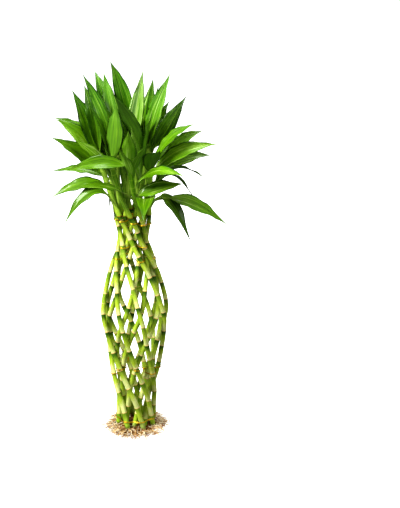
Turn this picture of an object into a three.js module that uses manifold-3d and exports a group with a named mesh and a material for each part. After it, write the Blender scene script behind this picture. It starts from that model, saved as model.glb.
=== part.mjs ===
// Lucky bamboo: jointed canes woven into a lattice with a vase's outline, a crown of leafy shoots
// on their tops, wire ties where the canes are held together, and a flat mat of roots.
// Millimetres, +Z up. The origin is the middle of the root mat's underside, and the front is -Y.
// An azimuth is measured from the front towards +X, in degrees.
import * as THREE from 'three';
import Module from 'manifold-3d';

const wasm = await Module();
wasm.setup();

// Canes
const CANE_FOOT = 4;
const CANE_TOP = 430;
const CANE_FOOT_DIAMETER = 9.6;
const CANE_TOP_DIAMETER = 8;
const CANE_TAPER = 2;
const CANE_SIDES = 6;
const CORNER_REACH = 1.1;
const FIRST_JOINT = 20;
const LAST_JOINT = 424;
const JOINT_PITCH_LOW = 38;
const JOINT_PITCH_HIGH = 35;
const JOINT_PITCH_UNEVENNESS = 0.1;
const JOINT_STEP = 0.618;
const INNER_JOINT_STAGGER = 0.31;
const JOINT_LIP = 1.05;
const JOINT_LIP_ABOVE = 0.8;
const JOINT_WAIST = 0.95;
const JOINT_WAIST_BELOW = 0.6;
const MIDDLE_GIRTH = 0.98;
const TOP_GIRTH = 0.97;
const STRAIGHT_ENOUGH = 0.5;
const CLEARANCE = 0.3;
const LAYER_CLEARANCE = 0.6;
const LAYER_GIRTH = 1.02;

// Lattice: outer radius by height, and how far a cane has turned from its azimuth at the belly
const BELLY = 250;
const LATTICE_OUTLINE = [
  [0, 38.6], [50, 38.6], [70, 40.8], [110, 46], [160, 54], [205, 62.4], [243, 65.8],
  [310, 50.4], [360, 34.4], [385, 29.2], [430, 36],
];
const OUTER_TWIST = [
  [0, 100], [60, 73], [110, 44], [170, 19], [BELLY, 0], [310, -16], [350, -39], [390, -75], [430, -109],
];
const INNER_TWIST = [
  [0, -123], [60, -92], [110, -68], [180, -33], [BELLY, 0], [310, 21], [350, 43], [390, 82], [430, 118],
];
const OUTER_AZIMUTHS = [62, 12, -26, -71, -123, 178, 138, 104];
const INNER_AZIMUTHS = [-90, -55, -14, 17, 60, 112, 163, 216];
const INNER_FIRST_EVEN_AZIMUTH = -106;
const UNEVEN_BELOW = 280;
const EVEN_ABOVE = 365;

// Shoots: stem ends above the cane top, and the stem's turn on its way there
const SHOOT_SIDES = 5;
const SHOOT_STATIONS = [0, 0.3, 0.65, 1];
const SHOOT_FOOT_RADIUS = 4.4;
const SHOOT_END_RADIUS = 4.2;
const OUTER_SHOOT = { rise: 100, reach: 58, turn: -30, lean: 40 };
const INNER_SHOOT = { rise: 115, reach: 35, turn: 30, lean: 40 };

// Leaves
const PETIOLE_WIDTH = 4.5;
const PETIOLE_SHARE = 0.12;
const BLADE_THICKNESS = 1.5;
const BLADE_THINNING = 0.4;
const BLADE_FOLD = 14;
const BLADE_PEAK = 0.8;
const BLADE_FULLNESS = 0.85;
const BLADE_TIP_TAPER = 0.6;
const LEAF_SPREAD = 0.35;
const BLADE_CLEAR_FROM = 0.3;
const LEAF_STATIONS = [0, 0.14, 0.3, 0.5, 0.7, 0.87, 1];
const LEAF_GAP = 0.5;
const LOWEST_LEAF = 0.08;

// Root mat
const MAT_RADIUS = 49;
const MAT_HEIGHT = 8.5;
const MAT_CORNERS = 26;
const ROOT_RADIUS = 1.1;
const ROOT_SIDES = 3;
const ROOT_TAPER = 0.35;
const RIM_ROOTS = 36;
const RIM_ROOT = {
  inset: 12, insetSpread: 5, height: 4, swing: 26, crest: 4, crestSpread: 6, reach: 7, reachSpread: 15,
};
const TOP_ROOTS = 12;
const TOP_ROOT = { azimuthStep: 137.5, sunk: 3.5, turn: 22, turnSpread: 20, crest: 1.5, crestSpread: 2.5 };
const FOOT_HOLE_DEPTH = 12;
const FOOT_HOLE_GIRTH = 1.02;

// Wire ties
const WIRE_RADIUS = 0.65;
const WIRE_SIDES = 4;
const RING_STEPS_PER_CANE = 5;
const RING_SLACK = 0.5;
const RING_TIE = { height: 22, tilt: 1, tiltAzimuth: 40 };
const LOOP_TIES = [
  { name: 'low', heights: [118] },
  { name: 'waist', heights: [346, 372] },
  { name: 'neck', heights: [420] },
];
const LOOP_SEARCH = 30;
const LOOP_STEPS = 12;
const LOOP_ROOM = 1.08;
const LOOP_SIDE_ROOM = 1.03;

const CANE_GREEN = 0xa9cf45;
const LEAF_GREEN = 0x4f9a1c;
const ROOT_TAN = 0xc7a06a;
const WIRE_GOLD = 0xd2a021;

// Curve helpers

// A smooth curve through [x, value] stations: cubic pieces whose slope at a station is that of
// the line between its two neighbours.
function smooth(stations) {
  const last = stations.length - 1;
  const slope = (i) => {
    const [x0, v0] = stations[Math.max(i - 1, 0)];
    const [x1, v1] = stations[Math.min(i + 1, last)];
    return (v1 - v0) / (x1 - x0);
  };
  return (x) => {
    let i = 0;
    while (i < last - 1 && x > stations[i + 1][0]) i += 1;
    const [x0, v0] = stations[i];
    const [x1, v1] = stations[i + 1];
    const span = x1 - x0;
    const t = (x - x0) / span;
    const rising = t * t * (3 - 2 * t);
    const early = t * (1 - t) * (1 - t) * span * slope(i);
    const late = t * t * (t - 1) * span * slope(i + 1);
    return v0 + (v1 - v0) * rising + early + late;
  };
}

const { degToRad: radians, lerp, clamp, smoothstep } = THREE.MathUtils;
const UP = new THREE.Vector3(0, 0, 1);

// A repeatable draw from 0 to 1 for the number n
function draw(n) {
  const spread = Math.sin(n * 12.9898 + 4.1414) * 43758.5453;
  return spread - Math.floor(spread);
}

// An angle in degrees brought between 0 and 360
function wrapped(angle) {
  return ((angle % 360) + 360) % 360;
}

function around(azimuth, radius, height) {
  const angle = radians(azimuth);
  return new THREE.Vector3(radius * Math.sin(angle), -radius * Math.cos(angle), height);
}

function bezier(start, control, end, t) {
  return start.clone().multiplyScalar((1 - t) * (1 - t))
    .addScaledVector(control, 2 * t * (1 - t))
    .addScaledVector(end, t * t);
}

function bezierDirection(start, control, end, t) {
  const first = control.clone().sub(start).multiplyScalar(1 - t);
  return first.addScaledVector(end.clone().sub(control), t).normalize();
}

// Solids

// The two axes square to a direction, the first as near as it can be to the wish
function crossAxes(direction, wish) {
  const first = wish.clone().addScaledVector(direction, -wish.dot(direction)).normalize();
  return [first, direction.clone().cross(first)];
}

function ring(centre, direction, wish, radius, sides, firstCorner = 0) {
  const [across, along] = crossAxes(direction, wish);
  return Array.from({ length: sides }, (_, corner) => {
    const angle = firstCorner + (2 * Math.PI * corner) / sides;
    return centre.clone()
      .addScaledVector(across, radius * Math.cos(angle))
      .addScaledVector(along, radius * Math.sin(angle));
  });
}

// A closed skin over rings of points in order. A ring of one point is a tip, and a looped skin
// joins its last ring to its first. Every second corner has both its quads cut towards it, so a
// blade's two faces are cut alike and can't pass through each other where it bends.
function skin(rings, looped = false) {
  const points = rings.flat();
  const starts = [];
  rings.reduce((start, ringPoints) => {
    starts.push(start);
    return start + ringPoints.length;
  }, 0);
  const faces = [];
  const pairs = looped ? rings.length : rings.length - 1;
  for (let i = 0; i < pairs; i += 1) {
    const next = (i + 1) % rings.length;
    const count = Math.max(rings[i].length, rings[next].length);
    for (let j = 0; j < count; j += 1) {
      const k = (j + 1) % count;
      const low = starts[i] + (rings[i].length > 1 ? j : 0);
      const lowNext = starts[i] + (rings[i].length > 1 ? k : 0);
      const high = starts[next] + (rings[next].length > 1 ? j : 0);
      const highNext = starts[next] + (rings[next].length > 1 ? k : 0);
      const even = j % 2 === 0;
      if (rings[i].length > 1) faces.push(low, lowNext, even ? high : highNext);
      if (rings[next].length > 1) faces.push(even ? lowNext : low, highNext, high);
    }
  }
  if (!looped) {
    const end = starts[rings.length - 1];
    for (let j = 1; j < rings[0].length - 1; j += 1) faces.push(0, j + 1, j);
    for (let j = 1; j < rings[rings.length - 1].length - 1; j += 1) faces.push(end, end + j, end + j + 1);
  }
  const geometry = new THREE.BufferGeometry();
  geometry.setFromPoints(points);
  geometry.setIndex(faces);
  return geometry;
}

function solidOf(geometry) {
  return new wasm.Manifold(new wasm.Mesh({
    numProp: 3,
    vertProperties: new Float32Array(geometry.attributes.position.array),
    triVerts: new Uint32Array(geometry.index.array),
  }));
}

function geometryOf(solid) {
  const mesh = solid.getMesh();
  const geometry = new THREE.BufferGeometry();
  geometry.setAttribute('position', new THREE.BufferAttribute(mesh.vertProperties, 3));
  geometry.setIndex(new THREE.BufferAttribute(mesh.triVerts, 1));
  return geometry;
}

// The largest body of a solid, without the closed pockets that crossing pieces leave inside it
function filled(solid) {
  const shells = solid.decompose();
  return shells.reduce((best, shell) => (shell.volume() > best.volume() ? shell : best));
}

const plant = new THREE.Group();

function add(name, geometry, colour, roughness, metalness = 0) {
  geometry.computeVertexNormals();
  const material = new THREE.MeshStandardMaterial({ color: colour, roughness, metalness });
  const mesh = new THREE.Mesh(geometry, material);
  mesh.name = name;
  plant.add(mesh);
}

// Lattice

const outline = smooth(LATTICE_OUTLINE);

function caneDiameter(height) {
  return lerp(CANE_FOOT_DIAMETER, CANE_TOP_DIAMETER, (height / CANE_TOP) ** CANE_TAPER);
}

function outerRadius(height) {
  return outline(height) - caneDiameter(height) / 2;
}

// The inner layer lies one cane inside the outer one, measured square to the lattice's wall
function innerRadius(height) {
  const wallSlope = (outline(height + 1) - outline(height - 1)) / 2;
  const layer = LAYER_GIRTH * caneDiameter(height) + LAYER_CLEARANCE;
  return outerRadius(height) - layer * Math.hypot(1, wallSlope);
}

const OUTER = { name: 'outer', azimuths: OUTER_AZIMUTHS, twist: smooth(OUTER_TWIST), radius: outerRadius };
const INNER = { name: 'inner', azimuths: INNER_AZIMUTHS, twist: smooth(INNER_TWIST), radius: innerRadius };

// The inner canes, unevenly spaced at the belly, stand evenly where the neck packs them close
function caneAzimuth(layer, cane, height) {
  let azimuth = layer.azimuths[cane];
  if (layer === INNER) {
    const even = INNER_FIRST_EVEN_AZIMUTH + (360 * cane) / INNER_AZIMUTHS.length;
    azimuth = lerp(azimuth, even, smoothstep(height, UNEVEN_BELOW, EVEN_ABOVE));
  }
  return azimuth + layer.twist(height);
}

function caneCentre(layer, cane, height) {
  return around(caneAzimuth(layer, cane, height), layer.radius(height), height);
}

function caneDirection(layer, cane, height) {
  const above = caneCentre(layer, cane, height + 0.5);
  return above.sub(caneCentre(layer, cane, height - 0.5)).normalize();
}

// Heights of a cane's joints, closer together towards the top and staggered between canes
function jointHeights(layer, cane) {
  const stagger = layer === OUTER ? 0 : INNER_JOINT_STAGGER;
  const heights = [];
  let height = FIRST_JOINT + JOINT_PITCH_LOW * ((cane * JOINT_STEP + stagger) % 1);
  while (height < LAST_JOINT) {
    heights.push(height);
    const pitch = lerp(JOINT_PITCH_LOW, JOINT_PITCH_HIGH, height / CANE_TOP);
    height += pitch * (1 + JOINT_PITCH_UNEVENNESS * Math.sin(2.3 * heights.length + 1.7 * cane));
  }
  return heights;
}

// Height and girth down a cane: each internode is flared at its lower end and drawn in at its
// upper end, where the next one starts with a small lip.
function caneStations(layer, cane) {
  const stations = [{ height: CANE_FOOT, girth: 1 }];
  for (const joint of jointHeights(layer, cane)) {
    const below = stations[stations.length - 1].height;
    const middle = (joint + below) / 2;
    const chord = caneCentre(layer, cane, joint).add(caneCentre(layer, cane, below)).multiplyScalar(0.5);
    if (chord.distanceTo(caneCentre(layer, cane, middle)) > STRAIGHT_ENOUGH) {
      stations.push({ height: middle, girth: MIDDLE_GIRTH });
    }
    stations.push({ height: joint - JOINT_WAIST_BELOW, girth: JOINT_WAIST });
    stations.push({ height: joint + JOINT_LIP_ABOVE, girth: JOINT_LIP });
  }
  stations.push({ height: CANE_TOP, girth: TOP_GIRTH });
  return stations;
}

function caneRing(layer, cane, height, girth, grow) {
  const centre = caneCentre(layer, cane, height);
  const level = height === CANE_FOOT || height === CANE_TOP;
  const direction = level ? UP : caneDirection(layer, cane, height);
  const outward = new THREE.Vector3(centre.x, centre.y, 0);
  const radius = (girth * caneDiameter(height) * CORNER_REACH) / 2 + grow;
  return ring(centre, direction, outward, radius, CANE_SIDES, Math.PI / CANE_SIDES);
}

function caneGeometry(layer, cane) {
  const stations = caneStations(layer, cane);
  return skin(stations.map(({ height, girth }) => caneRing(layer, cane, height, girth, 0)));
}

const caneSolids = [];
for (const layer of [OUTER, INNER]) {
  layer.azimuths.forEach((_, cane) => {
    const geometry = caneGeometry(layer, cane);
    caneSolids.push(solidOf(geometry));
    add(`${layer.name}_cane_${cane + 1}`, geometry, CANE_GREEN, 0.45);
  });
}

// Wire ties

// The outer canes in order round the lattice, by number
const CANES_IN_ORDER = OUTER.azimuths.map((_, cane) => cane)
  .sort((a, b) => wrapped(OUTER.azimuths[a]) - wrapped(OUTER.azimuths[b]));

// The ring tie's way round the outer canes: over each cane's outside, and in towards the middle
// between two canes. Its height tilts, and each cane has turned a little further there.
function ringTiePoint(turn) {
  const count = CANES_IN_ORDER.length;
  const place = Math.floor(turn * count);
  const share = turn * count - place;
  let { height } = RING_TIE;
  let azimuth = 0;
  for (let pass = 0; pass < 4; pass += 1) {
    const from = caneAzimuth(OUTER, CANES_IN_ORDER[place], height);
    const gap = wrapped(caneAzimuth(OUTER, CANES_IN_ORDER[(place + 1) % count], height) - from);
    azimuth = from + share * gap;
    height = RING_TIE.height + RING_TIE.tilt * Math.cos(radians(azimuth - RING_TIE.tiltAzimuth));
  }
  const over = (caneDiameter(height) * CORNER_REACH * JOINT_LIP) / 2 + 2 * CLEARANCE + WIRE_RADIUS;
  const wave = 1 - RING_SLACK * Math.sin(Math.PI * share) ** 2;
  return around(azimuth, outerRadius(height) + over * wave, height);
}

function wireGeometry(points) {
  const count = points.length;
  const rings = points.map((point, i) => {
    const direction = points[(i + 1) % count].clone().sub(points[(i + count - 1) % count]).normalize();
    return ring(point, direction, UP, WIRE_RADIUS, WIRE_SIDES);
  });
  return skin(rings, true);
}

const wireSolids = [];

function addWire(name, points) {
  const geometry = wireGeometry(points);
  wireSolids.push(solidOf(geometry));
  add(name, geometry, WIRE_GOLD, 0.3, 1);
}

const ringSteps = RING_STEPS_PER_CANE * OUTER.azimuths.length;
addWire('wire_ring_foot', Array.from({ length: ringSteps }, (_, i) => ringTiePoint(i / ringSteps)));

// The crossing of an outer cane with an inner one nearest to a height
function crossingNear(outerCane, height) {
  let best = null;
  INNER.azimuths.forEach((_, innerCane) => {
    for (let z = height - LOOP_SEARCH; z <= height + LOOP_SEARCH; z += 0.5) {
      const apart = caneAzimuth(OUTER, outerCane, z) - caneAzimuth(INNER, innerCane, z);
      const miss = Math.abs(wrapped(apart + 180) - 180);
      if (miss < 0.5 && (!best || Math.abs(z - height) < Math.abs(best - height))) best = z;
    }
  });
  return best;
}

// A loop of wire, level, round both canes of a crossing: two half circles and two straights,
// drawn out sideways as a leaning cane's level section is
function loopTiePoints(outerCane, near) {
  const height = crossingNear(outerCane, near);
  const azimuth = caneAzimuth(OUTER, outerCane, height);
  const girth = caneDiameter(height) * CORNER_REACH * JOINT_LIP;
  const wrap = (girth * LOOP_ROOM) / 2 + CLEARANCE + WIRE_RADIUS;
  const outerCentre = outerRadius(height);
  const innerCentre = innerRadius(height);
  const drawnOut = LOOP_SIDE_ROOM / caneDirection(OUTER, outerCane, height).z;
  return Array.from({ length: LOOP_STEPS }, (_, i) => {
    const angle = (2 * Math.PI * (i + 0.5)) / LOOP_STEPS;
    const radial = (Math.cos(angle) > 0 ? outerCentre : innerCentre) + wrap * Math.cos(angle);
    const sideways = wrap * Math.sin(angle) * drawnOut;
    const point = around(azimuth, radial, height);
    return point.add(around(azimuth + 90, sideways, 0));
  });
}

// Neighbouring canes of a row take the row's heights in turn
for (const row of LOOP_TIES) {
  OUTER.azimuths.forEach((_, cane) => {
    const near = row.heights[cane % row.heights.length];
    addWire(`wire_loop_${row.name}_${cane + 1}`, loopTiePoints(cane, near));
  });
}

// Root mat

function matCore() {
  const level = (share, height, wobble) => Array.from({ length: MAT_CORNERS }, (_, i) => {
    const azimuth = (360 * i) / MAT_CORNERS;
    const lobes = 1 + 0.05 * Math.sin(radians(5 * azimuth)) + 0.04 * Math.sin(radians(11 * azimuth + 40));
    return around(azimuth, MAT_RADIUS * share * lobes, height + wobble * (draw(i * 3 + height) - 0.5));
  });
  return skin([
    [new THREE.Vector3(0, 0, 0)],
    level(0.95, 0, 0),
    level(1, 2.2, 0),
    level(0.93, 0.7 * MAT_HEIGHT, 2),
    level(0.72, MAT_HEIGHT, 2.5),
    level(0.34, 0.9 * MAT_HEIGHT, 2),
    [new THREE.Vector3(0, 0, 0.8 * MAT_HEIGHT)],
  ]);
}

// A root: a slim tube through set points, tapering to its end
function rootGeometry(points, radius) {
  const curve = new THREE.CatmullRomCurve3(points);
  const steps = points.length - 1;
  const rings = Array.from({ length: steps + 1 }, (_, i) => {
    const t = i / steps;
    return ring(curve.getPoint(t), curve.getTangent(t), UP, radius * (1 - ROOT_TAPER * t), ROOT_SIDES);
  });
  return skin(rings);
}

function rootRadius(seed) {
  return ROOT_RADIUS * (0.9 + 0.3 * draw(seed));
}

// A root that leaves the mat's rim, rises a little and comes down on the ground beyond it
function rimRoot(n) {
  const azimuth = (360 * (n + 0.7 * draw(n))) / RIM_ROOTS;
  const swing = RIM_ROOT.swing * (draw(n + 100) - 0.5);
  const start = MAT_RADIUS - RIM_ROOT.inset + RIM_ROOT.insetSpread * draw(n + 200);
  const reach = MAT_RADIUS + RIM_ROOT.reach + RIM_ROOT.reachSpread * draw(n + 300) ** 1.5;
  const crest = RIM_ROOT.crest + RIM_ROOT.crestSpread * draw(n + 400);
  const ground = ROOT_RADIUS + 0.1;
  return rootGeometry([
    around(azimuth, start, RIM_ROOT.height),
    around(azimuth + 0.3 * swing, lerp(start, reach, 0.45), crest),
    around(azimuth - 0.2 * swing, lerp(start, reach, 0.75), lerp(crest, ground, 0.6)),
    around(azimuth + 0.5 * swing, reach, ground),
  ], rootRadius(n + 500));
}

// A root that loops up out of the mat's top and back into it
function topRoot(n) {
  const azimuth = TOP_ROOT.azimuthStep * n;
  const radius = MAT_RADIUS * (0.12 + 0.75 * Math.sqrt((n + 0.5) / TOP_ROOTS));
  const turn = TOP_ROOT.turn + TOP_ROOT.turnSpread * draw(n + 600);
  const crest = MAT_HEIGHT + TOP_ROOT.crest + TOP_ROOT.crestSpread * draw(n + 700);
  const sunk = MAT_HEIGHT - TOP_ROOT.sunk;
  return rootGeometry([
    around(azimuth, radius, sunk),
    around(azimuth + 0.3 * turn, radius + 2, crest),
    around(azimuth + 0.7 * turn, radius - 1, crest - 0.5),
    around(azimuth + turn, radius - 4, sunk - 0.5),
  ], rootRadius(n + 800));
}

// A plain hole for a cane's foot, a clearance wider and deeper than the foot
function footHole(layer, cane) {
  const heights = [CANE_FOOT, CANE_FOOT + FOOT_HOLE_DEPTH];
  const rings = heights.map((height) => caneRing(layer, cane, height, FOOT_HOLE_GIRTH, CLEARANCE));
  rings[0].forEach((point) => {
    point.z -= CLEARANCE;
  });
  return solidOf(skin(rings));
}

function rootMat() {
  const roots = [
    ...Array.from({ length: RIM_ROOTS }, (_, n) => rimRoot(n)),
    ...Array.from({ length: TOP_ROOTS }, (_, n) => topRoot(n)),
  ];
  let mat = roots.reduce((joined, root) => joined.add(solidOf(root)), solidOf(matCore()));
  for (const layer of [OUTER, INNER]) {
    layer.azimuths.forEach((_, cane) => {
      mat = mat.subtract(footHole(layer, cane));
    });
  }
  return filled(mat);
}

add('root_mat', geometryOf(rootMat()), ROOT_TAN, 0.9);

// Shoots

const SHOOTS = new Map();
for (const [layer, form] of [[OUTER, OUTER_SHOOT], [INNER, INNER_SHOOT]]) {
  layer.azimuths.forEach((_, cane) => {
    const foot = caneCentre(layer, cane, CANE_TOP);
    foot.z += CLEARANCE;
    const control = foot.clone().addScaledVector(caneDirection(layer, cane, CANE_TOP), form.lean);
    const azimuth = caneAzimuth(layer, cane, CANE_TOP) + form.turn;
    const end = around(azimuth, form.reach, CANE_TOP + form.rise);
    SHOOTS.set(`${layer.name}_shoot_${cane + 1}`, { foot, control, end, azimuth, leaves: [] });
  });
}

function stemGeometry({ foot, control, end }) {
  return skin(SHOOT_STATIONS.map((t) => {
    const direction = t === 0 ? UP : bezierDirection(foot, control, end, t);
    const radius = lerp(SHOOT_FOOT_RADIUS, SHOOT_END_RADIUS, t);
    return ring(bezier(foot, control, end, t), direction, around(0, 1, 0), radius, SHOOT_SIDES);
  }));
}

// A leaf starts inside the stem, at a share of its length, and ends at its tip. Its arch is how
// far its middle stands above the straight line between the two.
function leafPath(shoot, leaf) {
  const start = bezier(shoot.foot, shoot.control, shoot.end, leaf.along);
  const control = start.clone().lerp(leaf.tip, 0.5);
  control.x = lerp(start.x, leaf.tip.x, LEAF_SPREAD);
  control.y = lerp(start.y, leaf.tip.y, LEAF_SPREAD);
  control.z += 2 * leaf.arch;
  return { start, control, end: leaf.tip };
}

// A lance-shaped blade beyond its petiole: widest before its middle, with a long drawn-out tip
function bladeWidth({ width, petiole }, share) {
  const u = Math.max(0, (share - petiole) / (1 - petiole));
  const taper = BLADE_FULLNESS + BLADE_TIP_TAPER * u;
  return PETIOLE_WIDTH * (1 - share) + width * Math.sin(Math.PI * u ** BLADE_PEAK) ** taper;
}

function leafSection(path, leaf, share, grow) {
  const centre = bezier(path.start, path.control, path.end, share);
  const direction = bezierDirection(path.start, path.control, path.end, share);
  const outward = new THREE.Vector3(leaf.tip.x, leaf.tip.y, 0).normalize();
  const level = new THREE.Vector3(-outward.y, outward.x, 0);
  level.applyAxisAngle(direction, radians(leaf.roll));
  const [side, face] = crossAxes(direction, level);
  const fold = radians(BLADE_FOLD);
  const half = bladeWidth(leaf, share) / 2 + grow;
  const thickness = BLADE_THICKNESS * (1 - BLADE_THINNING * share) + grow;
  const edge = (sign) => centre.clone()
    .addScaledVector(side, sign * half * Math.cos(fold))
    .addScaledVector(face, half * Math.sin(fold));
  return [
    edge(1),
    centre.clone().addScaledVector(face, grow),
    edge(-1),
    centre.clone().addScaledVector(face, -thickness),
  ];
}

function leafGeometry(shoot, leaf, grow = 0, from = 0) {
  const path = leafPath(shoot, leaf);
  const stations = LEAF_STATIONS.filter((share) => share >= from);
  const rings = stations.map((share) => (
    share < 1 ? leafSection(path, leaf, share, grow) : [path.end.clone()]
  ));
  return skin(rings);
}

// The leaves that the front shows: share along the stem, tip, arch, width, turn of the face and,
// for a blade on a long stalk, the stalk's share of its length
const FRONT_LEAVES = [
  ['outer_shoot_7', 0.7, [-19, -95, 578], 4, 24, -15],
  ['outer_shoot_7', 0.76, [33, -95, 585], 4, 21, 15],
  ['outer_shoot_7', 0.62, [97, -125, 535], 18, 30, 35],
  ['outer_shoot_7', 0.4, [-89, -110, 512], 10, 24, -20, 0.3],
  ['outer_shoot_6', 0.2, [24, -140, 457], 26, 36, 0],
  ['outer_shoot_6', 0.78, [46, -98, 570], 14, 32, 0],
  ['outer_shoot_7', 1, [-112, -90, 536], 12, 27, -45],
  ['outer_shoot_8', 1, [-24, -45, 648], 2, 36, 0],
  ['outer_shoot_8', 0.9, [-101, -60, 587], -2, 30, -40],
  ['inner_shoot_1', 1, [-43, -70, 661], 0, 26, 10],
  ['inner_shoot_1', 0.95, [71, -10, 693], 2, 33, 50],
  ['inner_shoot_1', 0.85, [39, -40, 632], 0, 26, 30],
  ['outer_shoot_7', 0.42, [101, -62, 506], 2, 30, 50],
  ['inner_shoot_1', 0.55, [2, -60, 608], 2, 18, 10],
  ['inner_shoot_8', 1, [22, 20, 693], 0, 27, 60],
  ['inner_shoot_8', 0.8, [-7, -70, 604], 2, 26, 0],
  ['inner_shoot_4', 1, [-38, 20, 708], 14, 28, -60],
  ['inner_shoot_7', 0.95, [-88, 20, 686], 4, 26, -60],
  ['inner_shoot_7', 0.85, [-51, 40, 684], 14, 30, -30],
  ['outer_shoot_1', 1, [-85, 5, 667], 12, 24, -60],
  ['outer_shoot_1', 0.95, [-107, 10, 659], 4, 32, -60],
  ['outer_shoot_1', 0.88, [-135, -10, 608], 12, 31, -45],
  ['outer_shoot_1', 0.75, [-143, -30, 581], 2, 46, -35],
  ['outer_shoot_1', 0.55, [-149, -20, 463], 20, 26, -30],
  ['outer_shoot_1', 0.22, [-126, -38, 414], 52, 24, -30, 0.25],
  ['outer_shoot_2', 0.9, [-146, 30, 602], 14, 26, -30],
  ['outer_shoot_2', 0.6, [-155, 40, 497], 12, 22, -20],
  ['outer_shoot_2', 0.3, [-46, 40, 420], 38, 16, 0],
  ['inner_shoot_6', 1, [-69, 60, 681], 20, 24, -20],
  ['outer_shoot_6', 0.95, [113, -40, 607], 12, 33, 30],
  ['outer_shoot_6', 0.8, [156, -30, 567], 16, 32, 45],
  ['outer_shoot_6', 0.3, [176, -10, 407], 28, 33, 35, 0.35],
  ['outer_shoot_6', 0.15, [106, -30, 375], 56, 26, 35, 0.35],
  ['inner_shoot_2', 1, [100, 20, 646], -6, 30, 60],
  ['inner_shoot_2', 0.95, [47, -20, 632], 0, 28, 40],
  ['inner_shoot_2', 0.8, [110, -25, 592], 8, 27, 10],
  ['inner_shoot_3', 1, [39, 30, 676], 0, 28, 30],
  ['inner_shoot_3', 0.9, [68, 50, 629], 4, 24, 30],
  ['outer_shoot_5', 0.9, [131, 30, 578], 10, 26, 30],
  ['outer_shoot_5', 0.75, [145, 20, 533], 12, 28, 40],
  ['outer_shoot_5', 0.6, [99, 40, 528], 20, 27, 30],
  ['outer_shoot_8', 0.85, [-71, -40, 655], 14, 22, -40],
  ['inner_shoot_7', 1, [-48, -30, 641], 10, 22, -40],
  ['inner_shoot_3', 1, [47, 20, 666], 0, 22, 30],
  ['inner_shoot_4', 1, [24, 0, 632], 4, 14, 10],
  ['outer_shoot_3', 0.3, [-14, 95, 384], 44, 30, 0],
  ['outer_shoot_4', 0.3, [30, 92, 392], 44, 30, 0],
];

// The rest stand the same way round the sides and back: upright at a shoot's end, then
// spreading, then arching over and hanging lower down. Each tier is one leaf of a shoot.
const BACK_TIERS = [
  { along: 1, reach: 66, height: 645, arch: 0, width: 32 },
  { along: 0.94, reach: 92, height: 620, arch: 4, width: 32 },
  { along: 0.84, reach: 132, height: 604, arch: 14, width: 31 },
  { along: 0.7, reach: 146, height: 560, arch: 20, width: 31 },
  { along: 0.45, reach: 150, height: 488, arch: 36, width: 30 },
  { along: 0.25, reach: 132, height: 430, arch: 54, width: 29 },
];
const BACK_SHOOTS = {
  outer_shoot_3: [0, 1, 2, 3, 4],
  outer_shoot_4: [0, 1, 2, 3, 4, 5],
  outer_shoot_5: [4, 5],
  outer_shoot_2: [0, 1],
  inner_shoot_4: [0, 2, 3],
  inner_shoot_5: [0, 3],
  inner_shoot_6: [1, 2, 3],
  inner_shoot_3: [4],
};

const BACK_SWING = 10;
const BACK_SWING_SPREAD = 14;
const BACK_REACH_CHANGE = 0.08;
const BACK_HEIGHT_CHANGE = 12;
const BACK_WIDTH_CHANGE = 0.1;
const BACK_ROLL = 35;

// A repeatable change between minus and plus the most
function change(seed, most) {
  return most * (2 * draw(seed) - 1);
}

// Neighbouring tiers of a shoot swing to its two sides
function backLeaf(shoot, number, seed) {
  const tier = BACK_TIERS[number];
  const side = number % 2 ? 1 : -1;
  const azimuth = SHOOTS.get(shoot).azimuth + side * (BACK_SWING + BACK_SWING_SPREAD * draw(seed));
  const reach = tier.reach * (1 + change(seed + 1, BACK_REACH_CHANGE));
  const height = tier.height + change(seed + 2, BACK_HEIGHT_CHANGE);
  const width = tier.width * (1 + change(seed + 3, BACK_WIDTH_CHANGE));
  const tip = around(azimuth, reach, height);
  const roll = change(seed + 4, BACK_ROLL);
  return { shoot, along: tier.along, tip, arch: tier.arch, width, roll, petiole: PETIOLE_SHARE };
}

function leafList() {
  const front = FRONT_LEAVES.map(([shoot, along, tip, arch, width, roll, petiole = PETIOLE_SHARE]) => ({
    shoot, along, tip: new THREE.Vector3(...tip), arch, width, roll, petiole,
  }));
  const back = Object.entries(BACK_SHOOTS).flatMap(([shoot, tiers], place) => (
    tiers.map((number) => backLeaf(shoot, number, 100 * place + 10 * number))
  ));
  return [...front, ...back];
}

// Where a leaf would cross another shoot, cane or tie, or the blade of a leaf beside it, it is
// bent clear: its tip is turned about the plant and raised or lowered, and its foot slides along
// the stem, by the least that does it.
const BENDS = [0, 4, -4, 8, -8, 12, -12, 17, -17, 22, -22, 28, -28].flatMap((turn) => (
  [0, 9, -9, 18, -18, 28, -28, 40, -40].flatMap((lift) => (
    [0, 0.08, -0.08, 0.18, -0.18, -0.3].map((slide) => ({ turn, lift, slide }))
  ))
)).sort((a, b) => bendCost(a) - bendCost(b));

function bendCost({ turn, lift, slide }) {
  return 1.8 * Math.abs(turn) + Math.abs(lift) + 80 * Math.abs(slide);
}

function bent(leaf, { turn, lift, slide }) {
  const tip = leaf.tip.clone().applyAxisAngle(UP, radians(turn));
  tip.z += lift;
  return { ...leaf, tip, along: clamp(leaf.along + slide, LOWEST_LEAF, 1) };
}

function boxesMeet(a, b) {
  return [0, 1, 2].every((axis) => a.min[axis] < b.max[axis] && b.min[axis] < a.max[axis]);
}

function obstacle(owner, solid) {
  return { owner, solid, box: solid.boundingBox() };
}

function meets(solid, obstacles) {
  const box = solid.boundingBox();
  return obstacles.some((other) => boxesMeet(box, other.box) && !solid.intersect(other.solid).isEmpty());
}

const bodies = caneSolids.concat(wireSolids).map((solid) => obstacle('', solid));
const stems = new Map();
for (const [name, shoot] of SHOOTS) {
  stems.set(name, solidOf(stemGeometry(shoot)));
  bodies.push(obstacle(name, stems.get(name)));
}
const blades = [];

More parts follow.
